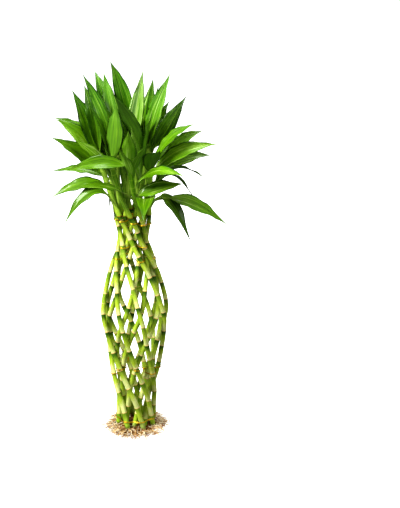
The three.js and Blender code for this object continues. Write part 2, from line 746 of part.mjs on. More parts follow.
for (const leaf of leafList()) {
  const shoot = SHOOTS.get(leaf.shoot);
  const others = bodies.filter(({ owner }) => owner !== leaf.shoot);
  const beside = blades.filter(({ owner }) => owner === leaf.shoot);
  const bend = BENDS.find((choice) => {
    const trial = bent(leaf, choice);
    if (meets(solidOf(leafGeometry(shoot, trial, LEAF_GAP)), others)) return false;
    return !meets(solidOf(leafGeometry(shoot, trial, 0, BLADE_CLEAR_FROM)), beside);
  });
  if (!bend) throw new Error(`no room for the leaf of ${leaf.shoot} at ${leaf.along}`);
  const placed = bent(leaf, bend);
  const solid = solidOf(leafGeometry(shoot, placed));
  bodies.push(obstacle(leaf.shoot, solid));
  blades.push(obstacle(leaf.shoot, solidOf(leafGeometry(shoot, placed, 0, BLADE_CLEAR_FROM))));
  shoot.leaves.push(solid);
}

for (const [name, shoot] of SHOOTS) {
  const joined = shoot.leaves.reduce((whole, leaf) => whole.add(leaf), stems.get(name));
  add(name, geometryOf(filled(joined)), LEAF_GREEN, 0.35);
}

export default plant;
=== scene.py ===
"""Lucky bamboo woven into a vase-shaped lattice: the looks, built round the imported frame.

The shape formulas work in millimetres, as the part's source does, and a mesh is made in metres.
An azimuth is measured from the front, which is -Y, towards +X, in degrees.
"""
import math

import bpy
import numpy as np
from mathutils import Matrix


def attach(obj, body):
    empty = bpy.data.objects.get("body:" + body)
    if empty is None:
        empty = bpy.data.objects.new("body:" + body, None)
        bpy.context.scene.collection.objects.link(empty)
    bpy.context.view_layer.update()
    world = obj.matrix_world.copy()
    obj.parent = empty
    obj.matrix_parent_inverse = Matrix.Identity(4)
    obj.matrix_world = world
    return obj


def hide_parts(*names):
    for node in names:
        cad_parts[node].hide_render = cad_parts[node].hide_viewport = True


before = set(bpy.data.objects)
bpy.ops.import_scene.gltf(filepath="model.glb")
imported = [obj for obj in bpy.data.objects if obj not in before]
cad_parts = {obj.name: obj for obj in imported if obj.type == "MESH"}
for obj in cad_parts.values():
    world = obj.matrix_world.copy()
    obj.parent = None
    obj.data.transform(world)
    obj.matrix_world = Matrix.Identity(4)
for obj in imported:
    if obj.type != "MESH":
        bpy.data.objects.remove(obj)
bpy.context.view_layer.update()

bl_info = {
    "name": "Woven lucky bamboo",
    "version": (1, 0, 0),
    "blender": (4, 5, 0),
    "location": "View3D > Sidebar > Bamboo",
    "description": "Builds the canes, leafy shoots, roots and wire ties of a woven lucky bamboo",
    "category": "Add Mesh",
}

MM = 0.001
UP = np.array([0.0, 0.0, 1.0])

# Lattice, in millimetres and degrees
CANE_FOOT = 4
CANE_TOP = 430
CANE_TAPER = 2
OUTLINE = [
    (0, 38.6), (50, 38.6), (70, 40.8), (110, 46), (160, 54), (205, 62.4), (243, 65.8),
    (310, 50.4), (360, 34.4), (385, 29.2), (430, 36),
]
OUTER_TWIST = [
    (0, 100), (60, 73), (110, 44), (170, 19), (250, 0), (310, -16), (350, -39), (390, -75),
    (430, -109),
]
INNER_TWIST = [
    (0, -123), (60, -92), (110, -68), (180, -33), (250, 0), (310, 21), (350, 43), (390, 82),
    (430, 118),
]
OUTER_AZIMUTHS = [62, 12, -26, -71, -123, 178, 138, 104]
INNER_AZIMUTHS = [-90, -55, -14, 17, 60, 112, 163, 216]
INNER_FIRST_EVEN_AZIMUTH = -106
UNEVEN_BELOW, EVEN_ABOVE = 280, 365
LAYER_STEP, LAYER_GAP = 1.02, 0.6
FIRST_JOINT, LAST_JOINT = 20, 424
JOINT_PITCH_LOW, JOINT_PITCH_HIGH = 38, 35
JOINT_PITCH_CHANGE = 0.1
OUTER_STAGGER, INNER_STAGGER = 0, 0.31

# Canes: their rings' distances over a joint and under the next one, and how many lie between
ABOVE_JOINT = np.array([0.2, 0.6, 1.1, 1.8, 3.0, 5.0])
BELOW_JOINT = np.array([6.5, 3.6, 2.0, 1.1, 0.5, 0.15])
RINGS_BETWEEN = 5
JOINT_UNDER_FOOT = 12
# Bell curves beside a joint: the share by which each swells or sinks the radius, and its width
LIP = (0.05, 1.0)
FLARE = (0.02, 4)
WAIST = (-0.035, 1.3)
GIRTH_CHANGE = 0.025
LEVEL_END = 8

# Shoots and leaves
OUTER_SHOOT = {"rise": 100, "reach": 58, "turn": -30, "lean": 40}
INNER_SHOOT = {"rise": 115, "reach": 35, "turn": 30, "lean": 40}
SHOOT_FOOT_RADIUS, SHOOT_END_RADIUS = 4.5, 4.2
SHEATH = {"thickness": 0.55, "share": 0.3, "step": 0.006, "most": 1.12}
STEM_UPRIGHT_SHARE, STEM_TIP_SHARE = 0.06, 0.965
PETIOLE_WIDTH = 4.5
PETIOLE_SHARE = 0.12
BLADE_FOLD = 14
LEAF_SPREAD = 0.35
LOWEST_LEAF = 0.08
# Powers of the blade's outline
BLADE_MIDDLE, BLADE_BLUNTNESS, BLADE_POINT = 0.8, 0.85, 0.6
# How a blade's face folds and turns, how its edges wave, and how it thins from its stalk on
BLADE = {
    "foot_fold": 38, "fold_change": 4, "turn_change": 24, "channel": 1.35, "wave_length": 34,
    "wave": 1.1, "ripple": 0.7, "ripples": 1.7, "thinning": 0.4,
}
STALK_HALF_WIDTH, STALK_THICKNESS = 0.7, 1.3
BLADE_RINGS = np.array([*np.linspace(0, 0.9, 25), 0.925, 0.95, 0.97, 0.985, 0.996])
BLADE_COLUMNS = 11

# Shoot, share along its stem, tip, arch, width, turn of the face, tone from dark to lime, and the
# stalk's share of the leaf where that isn't the usual one
FRONT_LEAVES = [
    ("outer_shoot_7", 0.7, (-19, -95, 578), 4, 24, -15, 0.55),
    ("outer_shoot_7", 0.76, (33, -95, 585), 4, 21, 15, 0.49),
    ("outer_shoot_7", 0.62, (97, -125, 535), 18, 30, 35, 0.46),
    ("outer_shoot_7", 0.4, (-89, -110, 512), 10, 24, -20, 0.6, 0.3),
    ("outer_shoot_6", 0.2, (24, -140, 457), 26, 36, 0, 0.45),
    ("outer_shoot_6", 0.78, (46, -98, 570), 14, 32, 0, 0.2),
    ("outer_shoot_7", 1, (-112, -90, 536), 12, 27, -45, 0.5),
    ("outer_shoot_8", 1, (-24, -45, 648), 2, 36, 0, 0.28),
    ("outer_shoot_8", 0.9, (-101, -60, 587), -2, 30, -40, 0.6),
    ("inner_shoot_1", 1, (-43, -70, 661), 0, 26, 10, 0.05),
    ("inner_shoot_1", 0.95, (71, -10, 693), 2, 33, 50, 0.53),
    ("inner_shoot_1", 0.85, (39, -40, 632), 0, 26, 30, 0.35),
    ("outer_shoot_7", 0.42, (101, -62, 506), 2, 30, 50, 0.49),
    ("inner_shoot_1", 0.55, (2, -60, 608), 2, 18, 10, 0.8),
    ("inner_shoot_8", 1, (22, 20, 693), 0, 27, 60, 0.78),
    ("inner_shoot_8", 0.8, (-7, -70, 604), 2, 26, 0, 0.7),
    ("inner_shoot_4", 1, (-38, 20, 708), 14, 28, -60, 0.45),
    ("inner_shoot_7", 0.95, (-88, 20, 686), 4, 26, -60, 0.2),
    ("inner_shoot_7", 0.85, (-51, 40, 684), 14, 30, -30, 0.45),
    ("outer_shoot_1", 1, (-85, 5, 667), 12, 24, -60, 0.3),
    ("outer_shoot_1", 0.95, (-107, 10, 659), 4, 32, -60, 0.18),
    ("outer_shoot_1", 0.88, (-135, -10, 608), 12, 31, -45, 0.6),
    ("outer_shoot_1", 0.75, (-143, -30, 581), 2, 46, -35, 0.35),
    ("outer_shoot_1", 0.55, (-149, -20, 463), 20, 26, -30, 0.39),
    ("outer_shoot_1", 0.22, (-126, -38, 414), 52, 24, -30, 0.39, 0.25),
    ("outer_shoot_2", 0.9, (-146, 30, 602), 14, 26, -30, 0.3),
    ("outer_shoot_2", 0.6, (-155, 40, 497), 12, 22, -20, 0.3),
    ("outer_shoot_2", 0.3, (-46, 40, 420), 38, 16, 0, 0.7),
    ("inner_shoot_6", 1, (-69, 60, 681), 20, 24, -20, 0.35),
    ("outer_shoot_6", 0.95, (113, -40, 607), 12, 33, 30, 0.42),
    ("outer_shoot_6", 0.8, (156, -30, 567), 16, 32, 45, 0.55),
    ("outer_shoot_6", 0.3, (176, -10, 407), 28, 33, 35, 0.44, 0.35),
    ("outer_shoot_6", 0.15, (106, -30, 375), 56, 26, 35, 0.35, 0.35),
    ("inner_shoot_2", 1, (100, 20, 646), -6, 30, 60, 0.15),
    ("inner_shoot_2", 0.95, (47, -20, 632), 0, 28, 40, 0.28),
    ("inner_shoot_2", 0.8, (110, -25, 592), 8, 27, 10, 0.22),
    ("inner_shoot_3", 1, (39, 30, 676), 0, 28, 30, 0.35),
    ("inner_shoot_3", 0.9, (68, 50, 629), 4, 24, 30, 0.3),
    ("outer_shoot_5", 0.9, (131, 30, 578), 10, 26, 30, 0.4),
    ("outer_shoot_5", 0.75, (145, 20, 533), 12, 28, 40, 0.45),
    ("outer_shoot_5", 0.6, (99, 40, 528), 20, 27, 30, 0.3),
    ("outer_shoot_8", 0.85, (-71, -40, 655), 14, 22, -40, 0.3),
    ("inner_shoot_7", 1, (-48, -30, 641), 10, 22, -40, 0.35),
    ("inner_shoot_3", 1, (47, 20, 666), 0, 22, 30, 0.15),
    ("inner_shoot_4", 1, (24, 0, 632), 4, 14, 10, -0.5),
    ("outer_shoot_3", 0.3, (-14, 95, 384), 44, 30, 0, 0.25),
    ("outer_shoot_4", 0.3, (30, 92, 392), 44, 30, 0, 0.3),
]
# Share along the stem, reach, height, arch and width of a leaf of each tier
BACK_TIERS = [
    (1, 66, 645, 0, 32),
    (0.94, 92, 620, 4, 32),
    (0.84, 132, 604, 14, 31),
    (0.7, 146, 560, 20, 31),
    (0.45, 150, 488, 36, 30),
    (0.25, 132, 430, 54, 29),
]
BACK_SHOOTS = {
    "outer_shoot_3": [0, 1, 2, 3, 4],
    "outer_shoot_4": [0, 1, 2, 3, 4, 5],
    "outer_shoot_5": [4, 5],
    "outer_shoot_2": [0, 1],
    "inner_shoot_4": [0, 2, 3],
    "inner_shoot_5": [0, 3],
    "inner_shoot_6": [1, 2, 3],
    "inner_shoot_3": [4],
}
# The bends that the part's source tries on a leaf: turns, lifts and slides along the stem
BEND_TURNS = [0, 4, -4, 8, -8, 12, -12, 17, -17, 22, -22, 28, -28]
BEND_LIFTS = [0, 9, -9, 18, -18, 28, -28, 40, -40]
BEND_SLIDES = [0, 0.08, -0.08, 0.18, -0.18, -0.3]

# Root mat
MAT_RADIUS = 49
MAT_HEIGHT = 8.5
RIM_ROOTS = 36
RIM_ROOT = {
    "inset": 12, "inset_spread": 5, "height": 4, "swing": 26,
    "crest": 4, "crest_spread": 6, "reach": 7, "reach_spread": 15,
}
# Section of the dark core from its underside's middle: share of the mat's radius, and height
CORE = [
    (0.01, 0.4), (0.5, 0.4), (0.8, 0.4), (0.93, 1.2), (0.9, 2.2), (0.78, 4.2),
    (0.6, 0.75 * MAT_HEIGHT), (0.42, 9.5), (0.2, 13.5), (0.02, 14.5),
]
CORE_LUMPS = 0.9
RIM_ROOT_RADIUS = 1.0
RUNNER_EVERY = 5
FINE_ROOT = {
    "length": 16, "length_spread": 30, "heading": 95, "drift": 130, "swing": 38, "reach": 50,
    "front_reach": 15, "runner_reach": 4, "runner_spread": 15, "wobble": 1.6, "lowest": 0.9,
}
# The mound of fine roots: its height, reach and power, and the heap among the canes' feet
MOUND = {"height": 11.5, "reach": 66, "power": 2.2, "heap": 6, "heap_edge": (10, 32)}

# Wire ties
RING_TIE = {"height": 22, "tilt": 1, "tilt_azimuth": 40, "dip": 0.8, "steps": 16, "ends_at": 64}
LOOP_TIES = {"low": (118,), "waist": (346, 372), "neck": (420,)}
LOOP_TIE = {"room": 1.08, "steps": 48, "ends_at": 24}
CORNER_REACH = 1.1
JOINT_LIP = 1.05
CLEARANCE = 0.3
TIE_RADIUS = 0.65
# How far each of a tie's two turns lies from the middle between them, in wire radii
RING_TURN_OFF, LOOP_TURN_OFF = 1.15, 1.1
TIE_ENDS = {"drop": 9, "turns": 3.2, "near": 0.4, "far": 1.2, "thickness": 0.9}
TIE_DULLNESS = {"foot": 0.4, "low": 0.7, "waist": 0.1, "neck": 0.0}


# Curves and arrays

def rising(t):
    """From 0 to 1 with level ends: three squares less two cubes of t."""
    return t * t * (3 - 2 * t)


def cubic(low, high, low_slope, high_slope, t, span=1):
    """The cubic from low to high with the slopes given at its two ends, at shares t of its span."""
    bends = t * (1 - t) ** 2 * low_slope - t * t * (1 - t) * high_slope
    return low + (high - low) * rising(t) + span * bends


def smooth(stations):
    """A curve through (x, value) stations: cubics, with the neighbours' line as slope at each."""
    x, value = np.array(stations, float).T
    before = np.maximum(np.arange(len(x)) - 1, 0)
    after = np.minimum(np.arange(len(x)) + 1, len(x) - 1)
    slope = (value[after] - value[before]) / (x[after] - x[before])

    def curve(at):
        i = np.clip(np.searchsorted(x, at) - 1, 0, len(x) - 2)
        span = x[i + 1] - x[i]
        return cubic(value[i], value[i + 1], slope[i], slope[i + 1], (at - x[i]) / span, span)

    return curve


def draw(n):
    """Repeatable draws from 0 to 1: the fraction of a large multiple of the sine of the number."""
    spread = np.sin(np.asarray(n, float) * 12.9898 + 4.1414) * 43758.5453
    return spread - np.floor(spread)


def change(seed, most):
    """A draw between minus and plus the most."""
    return most * (2 * draw(seed) - 1)


def lerp(a, b, t):
    """From a to b, by the share t of the way."""
    return a + (b - a) * t


def ease(low, high, x):
    """From 0 at low to 1 at high, with level ends."""
    return rising(np.clip((np.asarray(x, float) - low) / (high - low), 0, 1))


def bell(distance, height, width):
    """A bell curve: its height times e to the power of minus the square of distance over width."""
    return height * np.exp(-((distance / width) ** 2))


def around(azimuth, radius, height):
    """Points at an azimuth and a radius round the plant's middle line."""
    angle = np.radians(azimuth)
    x, y, z = np.broadcast_arrays(radius * np.sin(angle), -radius * np.cos(angle), height)
    return np.stack([x, y, z], axis=-1).astype(float)


def unit(vectors):
    """The vectors' directions: each divided by its length."""
    return vectors / np.linalg.norm(vectors, axis=-1, keepdims=True)


def cross_axes(direction, wish):
    """Two axes square to each direction, the first as near as it can be to the wish."""
    wish = np.broadcast_to(wish, direction.shape)
    first = unit(wish - direction * np.sum(wish * direction, axis=-1, keepdims=True))
    return first, np.cross(direction, first)


def bezier(start, control, end, t):
    """Points at shares t of a curve that sets out for the control point and comes in from it."""
    t = np.asarray(t, float)[..., None]
    return (1 - t) ** 2 * start + 2 * t * (1 - t) * control + t * t * end


def bezier_direction(start, control, end, t):
    """That curve's directions: its two legs, weighted by how near their ends are."""
    t = np.asarray(t, float)[..., None]
    return unit((1 - t) * (control - start) + t * (end - control))


def tangents(paths):
    """Directions along paths of points, from the differences of neighbours."""
    return unit(np.gradient(paths, axis=-2))


def circle(sides):
    """Cosines and sines of evenly spaced turns."""
    turn = 2 * np.pi * np.arange(sides) / sides
    return np.cos(turn), np.sin(turn)


def sweep(paths, directions, wish, radii, sides):
    """Round rings carried along paths: each point, plus its radius times the cosine of one cross
    axis and the sine of the other."""
    across, along = cross_axes(directions, wish)
    x, y = circle(sides)
    rim = across[..., None, :] * x[:, None] + along[..., None, :] * y[:, None]
    return paths[..., None, :] + np.asarray(radii, float)[..., None, None] * rim


class Skin:
    """Gathers closed shells of rings, with their values, into one mesh."""

    def __init__(self):
        self.points, self.quads, self.corners, self.values = [], [], [], []
        self.quad_slots, self.corner_slots = [], []
        self.count = 0

    def add(self, rings, values, looped=False, slot=0):
        """Adds tubes from rings of shape (tube, ring, side, 3), and values that spread over them. A
        looped tube joins its last ring to its first; any other is closed at each end by a fan to
        its end ring's middle."""
        tubes, count, sides, _ = rings.shape
        points = rings.reshape(-1, 3)
        number = self.count + np.arange(tubes * count * sides).reshape(tubes, count, sides)
        beside = np.roll(number, -1, axis=2)
        after = np.roll(number, -1, axis=1)
        after_beside = np.roll(beside, -1, axis=1)
        quads = np.stack([number, beside, after_beside, after], axis=-1)
        if not looped:
            quads = quads[:, :-1]
        quads = quads.reshape(-1, 4)
        laid = {
            name: np.broadcast_to(value, rings.shape[:3]).astype(np.float32)
            for name, value in values.items()
        }
        rows = {name: [value.reshape(-1)] for name, value in laid.items()}
        corners = np.zeros((0, 3), int)
        if not looped:
            ends = np.concatenate([rings[:, 0].mean(axis=1), rings[:, -1].mean(axis=1)])
            middle = self.count + len(points) + np.arange(2 * tubes).reshape(2, tubes, 1)
            middle = np.broadcast_to(middle, (2, tubes, sides))
            first = np.stack([middle[0], beside[:, 0], number[:, 0]], axis=-1)
            last = np.stack([middle[1], number[:, -1], beside[:, -1]], axis=-1)
            corners = np.concatenate([first.reshape(-1, 3), last.reshape(-1, 3)])
            points = np.concatenate([points, ends])
            for name, value in laid.items():
                rows[name] += [value[:, 0, 0], value[:, -1, 0]]
        if self.turned_in(points, quads - self.count, corners - self.count):
            quads, corners = quads[:, ::-1], corners[:, ::-1]
        self.points.append(points)
        self.quads.append(quads)
        self.corners.append(corners)
        self.quad_slots.append(np.full(len(quads), slot))
        self.corner_slots.append(np.full(len(corners), slot))
        self.values.append({name: np.concatenate(parts) for name, parts in rows.items()})
        self.count += len(points)

    @staticmethod
    def turned_in(points, quads, corners):
        """True where the volume, summed from each face's cone to the middle, is negative."""
        triangles = np.concatenate([quads[:, [0, 1, 2]], quads[:, [0, 2, 3]], corners])
        a, b, c = (points[triangles[:, i]] - points.mean(axis=0) for i in range(3))
        return np.sum(a * np.cross(b, c)) < 0

    def piece(self, name, materials):
        """Makes the mesh in metres and an object for it at the origin, with smooth faces."""
        mesh = bpy.data.meshes.new(name)
        quads, corners = np.concatenate(self.quads), np.concatenate(self.corners)
        points = np.concatenate(self.points) * MM
        mesh.from_pydata(points.tolist(), [], quads.tolist() + corners.tolist())
        slots = np.concatenate(self.quad_slots + self.corner_slots).astype(np.int32)
        mesh.polygons.foreach_set("material_index", slots)
        mesh.polygons.foreach_set("use_smooth", np.ones(len(slots), bool))
        for key in sorted({key for values in self.values for key in values}):
            parts = [
                values.get(key, np.zeros(len(points), np.float32))
                for values, points in zip(self.values, self.points)
            ]
            kept = mesh.attributes.new(key, "FLOAT", "POINT")
            kept.data.foreach_set("value", np.concatenate(parts))
        for material in materials:
            mesh.materials.append(material)
        mesh.validate()
        made = bpy.data.objects.new(name, mesh)
        bpy.context.scene.collection.objects.link(made)
        return made


def stand_for(made, node):
    """The piece rides on the one body and takes the node's place."""
    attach(made, "root")
    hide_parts(node)


# Materials

class Socket:
    """A node's output, on which sums, products and quotients add Math nodes."""

    def __init__(self, graph, output):
        self.graph, self.output = graph, output

    def math(self, operation, *others, first=None):
        terms = [self if first is None else first, *others]
        return self.graph.node("ShaderNodeMath", {"operation": operation}, dict(enumerate(terms)))

    def __add__(self, other):
        return self.math("ADD", other)

    def __sub__(self, other):
        return self.math("SUBTRACT", other)

    def __rsub__(self, other):
        return self.math("SUBTRACT", self, first=other)

    def __mul__(self, other):
        return self.math("MULTIPLY", other)

    def __truediv__(self, other):
        return self.math("DIVIDE", other)

    __radd__, __rmul__ = __add__, __mul__

    def sine(self):
        return self.math("SINE")

    def size(self):
        return self.math("ABSOLUTE")

    def rise(self, low, high):
        """From 0 at low to 1 at high, eased, and the other way round where low is the larger."""
        sockets = {"Value": self, "From Min": low, "From Max": high, "To Min": 0.0, "To Max": 1.0}
        return self.graph.node("ShaderNodeMapRange", {"interpolation_type": "SMOOTHSTEP"}, sockets)


class Graph:
    """A node tree. Every node but a material's surface comes from the method node."""

    def __init__(self, tree):
        self.tree = tree
        tree.nodes.clear()

    def put(self, socket, value):
        """Links a node's output to the socket, or sets the socket, a colour as an opaque one."""
        if isinstance(value, Socket):
            self.tree.links.new(value.output, socket)
        else:
            socket.default_value = (*value, 1.0) if socket.type == "RGBA" else value

    def node(self, kind, settings, sockets, output=0):
        """Adds a node: its settings first, then the values or links of its sockets."""
        made = self.tree.nodes.new(kind)
        for key, value in settings.items():
            setattr(made, key, value)
        for key, value in sockets.items():
            self.put(made.inputs[key], value)
        return Socket(self, made.outputs[output]) if made.outputs else None


class Shader(Graph):
    """One material with one surface, on which constants are set straight away."""

    def __init__(self, name, **constants):
        self.material = bpy.data.materials.new(name)
        self.material.use_nodes = True
        super().__init__(self.material.node_tree)
        surface = self.tree.nodes.new("ShaderNodeBsdfPrincipled")
        self.node("ShaderNodeOutputMaterial", {}, {"Surface": Socket(self, surface.outputs[0])})
        self.inputs = surface.inputs
        for socket, value in constants.items():
            self.put(self.inputs[socket.replace("_", " ")], value)

    def value(self, name):
        """A value that the mesh keeps at its points."""
        settings = {"attribute_type": "GEOMETRY", "attribute_name": name}
        return self.node("ShaderNodeAttribute", settings, {}, "Fac")

    def vector(self, x, y, z):
        return self.node("ShaderNodeCombineXYZ", {}, {0: x, 1: y, 2: z})

    def place(self):
        return self.node("ShaderNodeTexCoord", {}, {}, "Object")

    def noise(self, vector, scale=1.0, detail=3.0, roughness=0.55):
        sockets = {"Vector": vector, "Scale": scale, "Detail": detail, "Roughness": roughness}
        return self.node("ShaderNodeTexNoise", {}, sockets)

    def round_noise(self, times, along, detail):
        """Noise over a tube, read on a circle so many times as large and at a place along it."""
        x, y = (self.value(name) * times for name in ("ring_x", "ring_y"))
        return self.noise(self.vector(x, y, along), detail=detail)

    def mix(self, factor, first, second):
        """A colour between two, by the factor."""
        sockets = {0: factor, 6: first, 7: second}
        return self.node("ShaderNodeMix", {"data_type": "RGBA"}, sockets, 2)

    def paint(self, base, *coats):
        """The base colour under coats: each is a factor and the colour that it mixes over."""
        for factor, coat in coats:
            base = self.mix(factor, base, coat)
        return base

    def finish(self, tint, roughness, height=None, depth=0.0002):
        """Sets the colour and roughness, and the bumps that are so many metres deep."""
        self.put(self.inputs["Base Color"], tint)
        self.put(self.inputs["Roughness"], roughness)
        if height is not None:
            sockets = {"Strength": 1.0, "Distance": depth, "Height": height}
            self.put(self.inputs["Normal"], self.node("ShaderNodeBump", {}, sockets))
        return self.material


# Tint of the gloss on green pieces
GREEN_GLOSS = (0.8, 1.0, 0.4)


# Lattice

class Layer:
    """One of the lattice's two layers. Outer canes lean one way round it, inner ones the other."""

    outline = staticmethod(smooth(OUTLINE))

    def __init__(self, name, azimuths, twist, stagger, form, diameters):
        self.name, self.azimuths, self.stagger, self.form = name, azimuths, stagger, form
        self.twist = smooth(twist)
        self.foot_diameter, self.top_diameter = diameters

    def diameter(self, height):
        """From the foot's to the top's, by a power of the height."""
        share = np.asarray(height, float) / CANE_TOP
        return lerp(self.foot_diameter, self.top_diameter, share ** CANE_TAPER)

    def outer_radius(self, height):
        """Half a cane inside the outline."""
        return self.outline(height) - self.diameter(height) / 2

    def radius(self, height):
        """The inner layer lies one cane further in, measured square to the lattice's wall."""
        if self.name == "outer":
            return self.outer_radius(height)
        slope = (self.outline(height + 1) - self.outline(height - 1)) / 2
        step = LAYER_STEP * self.diameter(height) + LAYER_GAP
        return self.outer_radius(height) - step * np.hypot(1, slope)

    def azimuth(self, cane, height):
        """The cane's own azimuth, which in the inner layer gets even at the neck, and the twist."""
        azimuth = self.azimuths[cane]
        if self.name == "inner":
            even = INNER_FIRST_EVEN_AZIMUTH + 360 * cane / len(self.azimuths)
            azimuth = lerp(azimuth, even, ease(UNEVEN_BELOW, EVEN_ABOVE, height))
        return azimuth + self.twist(height)

    def centre(self, cane, height):
        """Points of the cane's middle line."""
        return around(self.azimuth(cane, height), self.radius(height), height)

    def direction(self, cane, height):
        """Directions of that line, from points half a millimetre over and under each."""
        return unit(self.centre(cane, height + 0.5) - self.centre(cane, height - 0.5))

    def joints(self, cane):
        """Heights of a cane's joints, closer together towards the top."""
        heights = []
        height = FIRST_JOINT + JOINT_PITCH_LOW * ((cane * 0.618 + self.stagger) % 1)
        while height < LAST_JOINT:
            heights.append(height)
            pitch = lerp(JOINT_PITCH_LOW, JOINT_PITCH_HIGH, height / CANE_TOP)
            uneven = JOINT_PITCH_CHANGE * math.sin(2.3 * len(heights) + 1.7 * cane)
            height += pitch * (1 + uneven)
        return heights


def layers(sizes):
    """The outer and the inner layer, with canes as thick as the settings say."""
    diameters = (sizes.cane_foot_diameter / MM, sizes.cane_top_diameter / MM)
    return [
        Layer("outer", OUTER_AZIMUTHS, OUTER_TWIST, OUTER_STAGGER, OUTER_SHOOT, diameters),
        Layer("inner", INNER_AZIMUTHS, INNER_TWIST, INNER_STAGGER, INNER_SHOOT, diameters),
    ]


def cane_rings(layer, cane, sides=18):
    """A cane: circles along the layer's winding path. The radius swells by a bell curve just over a
    joint, a wider one for the internode's flared foot, and sinks by a bell curve just under the
    next."""
    marks = [CANE_FOOT - JOINT_UNDER_FOOT, *layer.joints(cane), CANE_TOP + 0.1]
    rows = []
    for part, (low, high) in enumerate(zip(marks[:-1], marks[1:])):
        between = np.linspace(low + ABOVE_JOINT[-1], high - BELOW_JOINT[0], RINGS_BETWEEN + 2)[1:-1]
        ring = np.concatenate([low + ABOVE_JOINT, between, high - BELOW_JOINT])
        ring = ring[ring >= CANE_FOOT]
        rows.append([ring, ring - low, high - ring, np.full(len(ring), part)])
    height, above, below, part = np.concatenate(rows, axis=1)
    seed = part + 40 * cane + (7 if layer.name == "inner" else 0)
    girth = 1 + bell(above, *LIP) + bell(above, *FLARE) + bell(below, *WAIST)
    girth *= 1 + change(seed, GIRTH_CHANGE)
    level = ease(CANE_TOP - LEVEL_END, CANE_TOP, height)
    level = level + 1 - ease(CANE_FOOT, CANE_FOOT + LEVEL_END, height)
    direction = unit(lerp(layer.direction(cane, height), UP, level[:, None]))
    centre = layer.centre(cane, height)
    rings = sweep(centre, direction, centre * [1, 1, 0], girth * layer.diameter(height) / 2, sides)
    ring_x, ring_y = circle(sides)
    values = {
        "above": above[:, None], "below": below[:, None], "height": height[:, None],
        "part": draw(seed + 500)[:, None], "cane": 13.0 * cane,
        "shade": ease(0.12, 0.5, draw(seed + 900))[:, None], "ring_x": ring_x, "ring_y": ring_y,
    }
    return rings[None], values


def cane_material(colours):
    """Each internode goes from dark green under the joint above it, through yellow-green, to pale
    at its foot, with a thin tan scar in a cream collar over the joint, long streaks along it and a
    few brown flecks. The dark band is missing under some joints."""
    shader = Shader("cane_green", Specular_IOR_Level=0.3, Specular_Tint=GREEN_GLOSS)
    names = ("above", "below", "part", "height", "cane", "shade")
    above, below, part, height, cane, shade = map(shader.value, names)
    streak = shader.round_noise(5, height * 0.03 + cane, 5.0)
    cloud = shader.round_noise(1.2, height * 0.09 + cane, 2.0)
    fleck = shader.round_noise(5, height * 0.7 + cane, 1.0).rise(0.68, 0.75)
    lines = shader.round_noise(18, height * 0.06 + cane, 2.0)
    span = above + below
    low = height.rise(190.0, 110.0)
    ragged = above / span + (streak - 0.5) * 0.8 + (cloud - 0.5) * 0.4 + (part - 0.5) * 0.35
    ragged = ragged - low * 0.2
    band = (below + (streak - 0.5) * 10 + (cloud - 0.5) * 6).rise(13.0, 1.5)
    midway = (above - span * (0.3 + 0.4 * part)).size().rise(0.7, 0.2) * shade.rise(0.45, 0.3)
    scar = (above + (cloud - 0.5) * 0.7).rise(1.2, 0.5)
    tint = shader.paint(
        colours.cane_pale,
        (ragged.rise(0.02, 0.4), colours.cane_lime),
        (ragged.rise(0.38, 0.95), colours.cane_green),
        (lines.rise(0.5, 0.68) * 0.6, colours.cane_green),
        (lines.rise(0.46, 0.32) * 0.5, colours.cane_pale),
        (band * shade * (0.95 - low * 0.6), colours.cane_dark),
        (fleck * 0.75, colours.scar),
        (midway * 0.7, colours.cane_collar),
        (above.rise(2.8, 1.3) * 0.9, colours.cane_collar),
        (scar * (0.15 + 0.4 * shade), colours.scar),
        (height.rise(34.0, 10.0) * 0.6, colours.cane_foot),
    )
    roughness = 0.36 + streak * 0.16 + scar * 0.25
    relief = streak * 0.4 + lines * 0.25 + fleck * 0.3 - below.rise(0.9, 0.0) * 0.8
    return shader.finish(tint, roughness, relief, 0.00035)


# Leafy shoots

def shoots(lattice):
    """Each shoot's foot on its cane, the point that its stem bends towards, its end and azimuth."""
    made = {}
    for layer in lattice:
        for cane in range(len(layer.azimuths)):
            foot = layer.centre(cane, CANE_TOP) + [0, 0, CLEARANCE]
            control = foot + layer.form["lean"] * layer.direction(cane, CANE_TOP)
            azimuth = layer.azimuth(cane, CANE_TOP) + layer.form["turn"]
            end = around(azimuth, layer.form["reach"], CANE_TOP + layer.form["rise"])
            made[f"{layer.name}_shoot_{cane + 1}"] = {
                "foot": foot, "control": control, "end": end,
                "azimuth": float(azimuth), "leaves": [],
            }
    return made


def leaf_list(stems):
    """The leaves that the front shows, and the tiers that stand the same way round the back."""
    listed = []
    for shoot, along, tip, arch, width, roll, tone, *stalk in FRONT_LEAVES:
        listed.append({
            "shoot": shoot, "along": along, "tip": np.array(tip, float), "arch": arch,
            "width": width, "roll": roll, "tone": tone,
            "petiole": stalk[0] if stalk else PETIOLE_SHARE,
        })
    for place, (shoot, tiers) in enumerate(BACK_SHOOTS.items()):
        for number in tiers:
            along, reach, height, arch, width = BACK_TIERS[number]
            seed = 100 * place + 10 * number
            side = 1 if number % 2 else -1
            azimuth = stems[shoot]["azimuth"] + side * (10 + 14 * draw(seed))
            reach *= 1 + change(seed + 1, 0.08)
            tip = around(azimuth, reach, height + change(seed + 2, 12))
            listed.append({
                "shoot": shoot, "along": along, "tip": tip, "arch": arch,
                "width": width * (1 + change(seed + 3, 0.1)), "roll": change(seed + 4, 35),
                "tone": 0.15 + 0.6 * draw(seed + 5), "petiole": PETIOLE_SHARE,
            })
    return listed


def leaf_path(stem, along, tip, arch):
    """Start inside the stem, the point the leaf bends towards, and tip, for arrays of leaves."""
    start = bezier(stem["foot"], stem["control"], stem["end"], along)
    control = lerp(start, tip, LEAF_SPREAD)
    control[..., 2] = (start[..., 2] + tip[..., 2]) / 2 + 2 * arch
    return start, control, tip


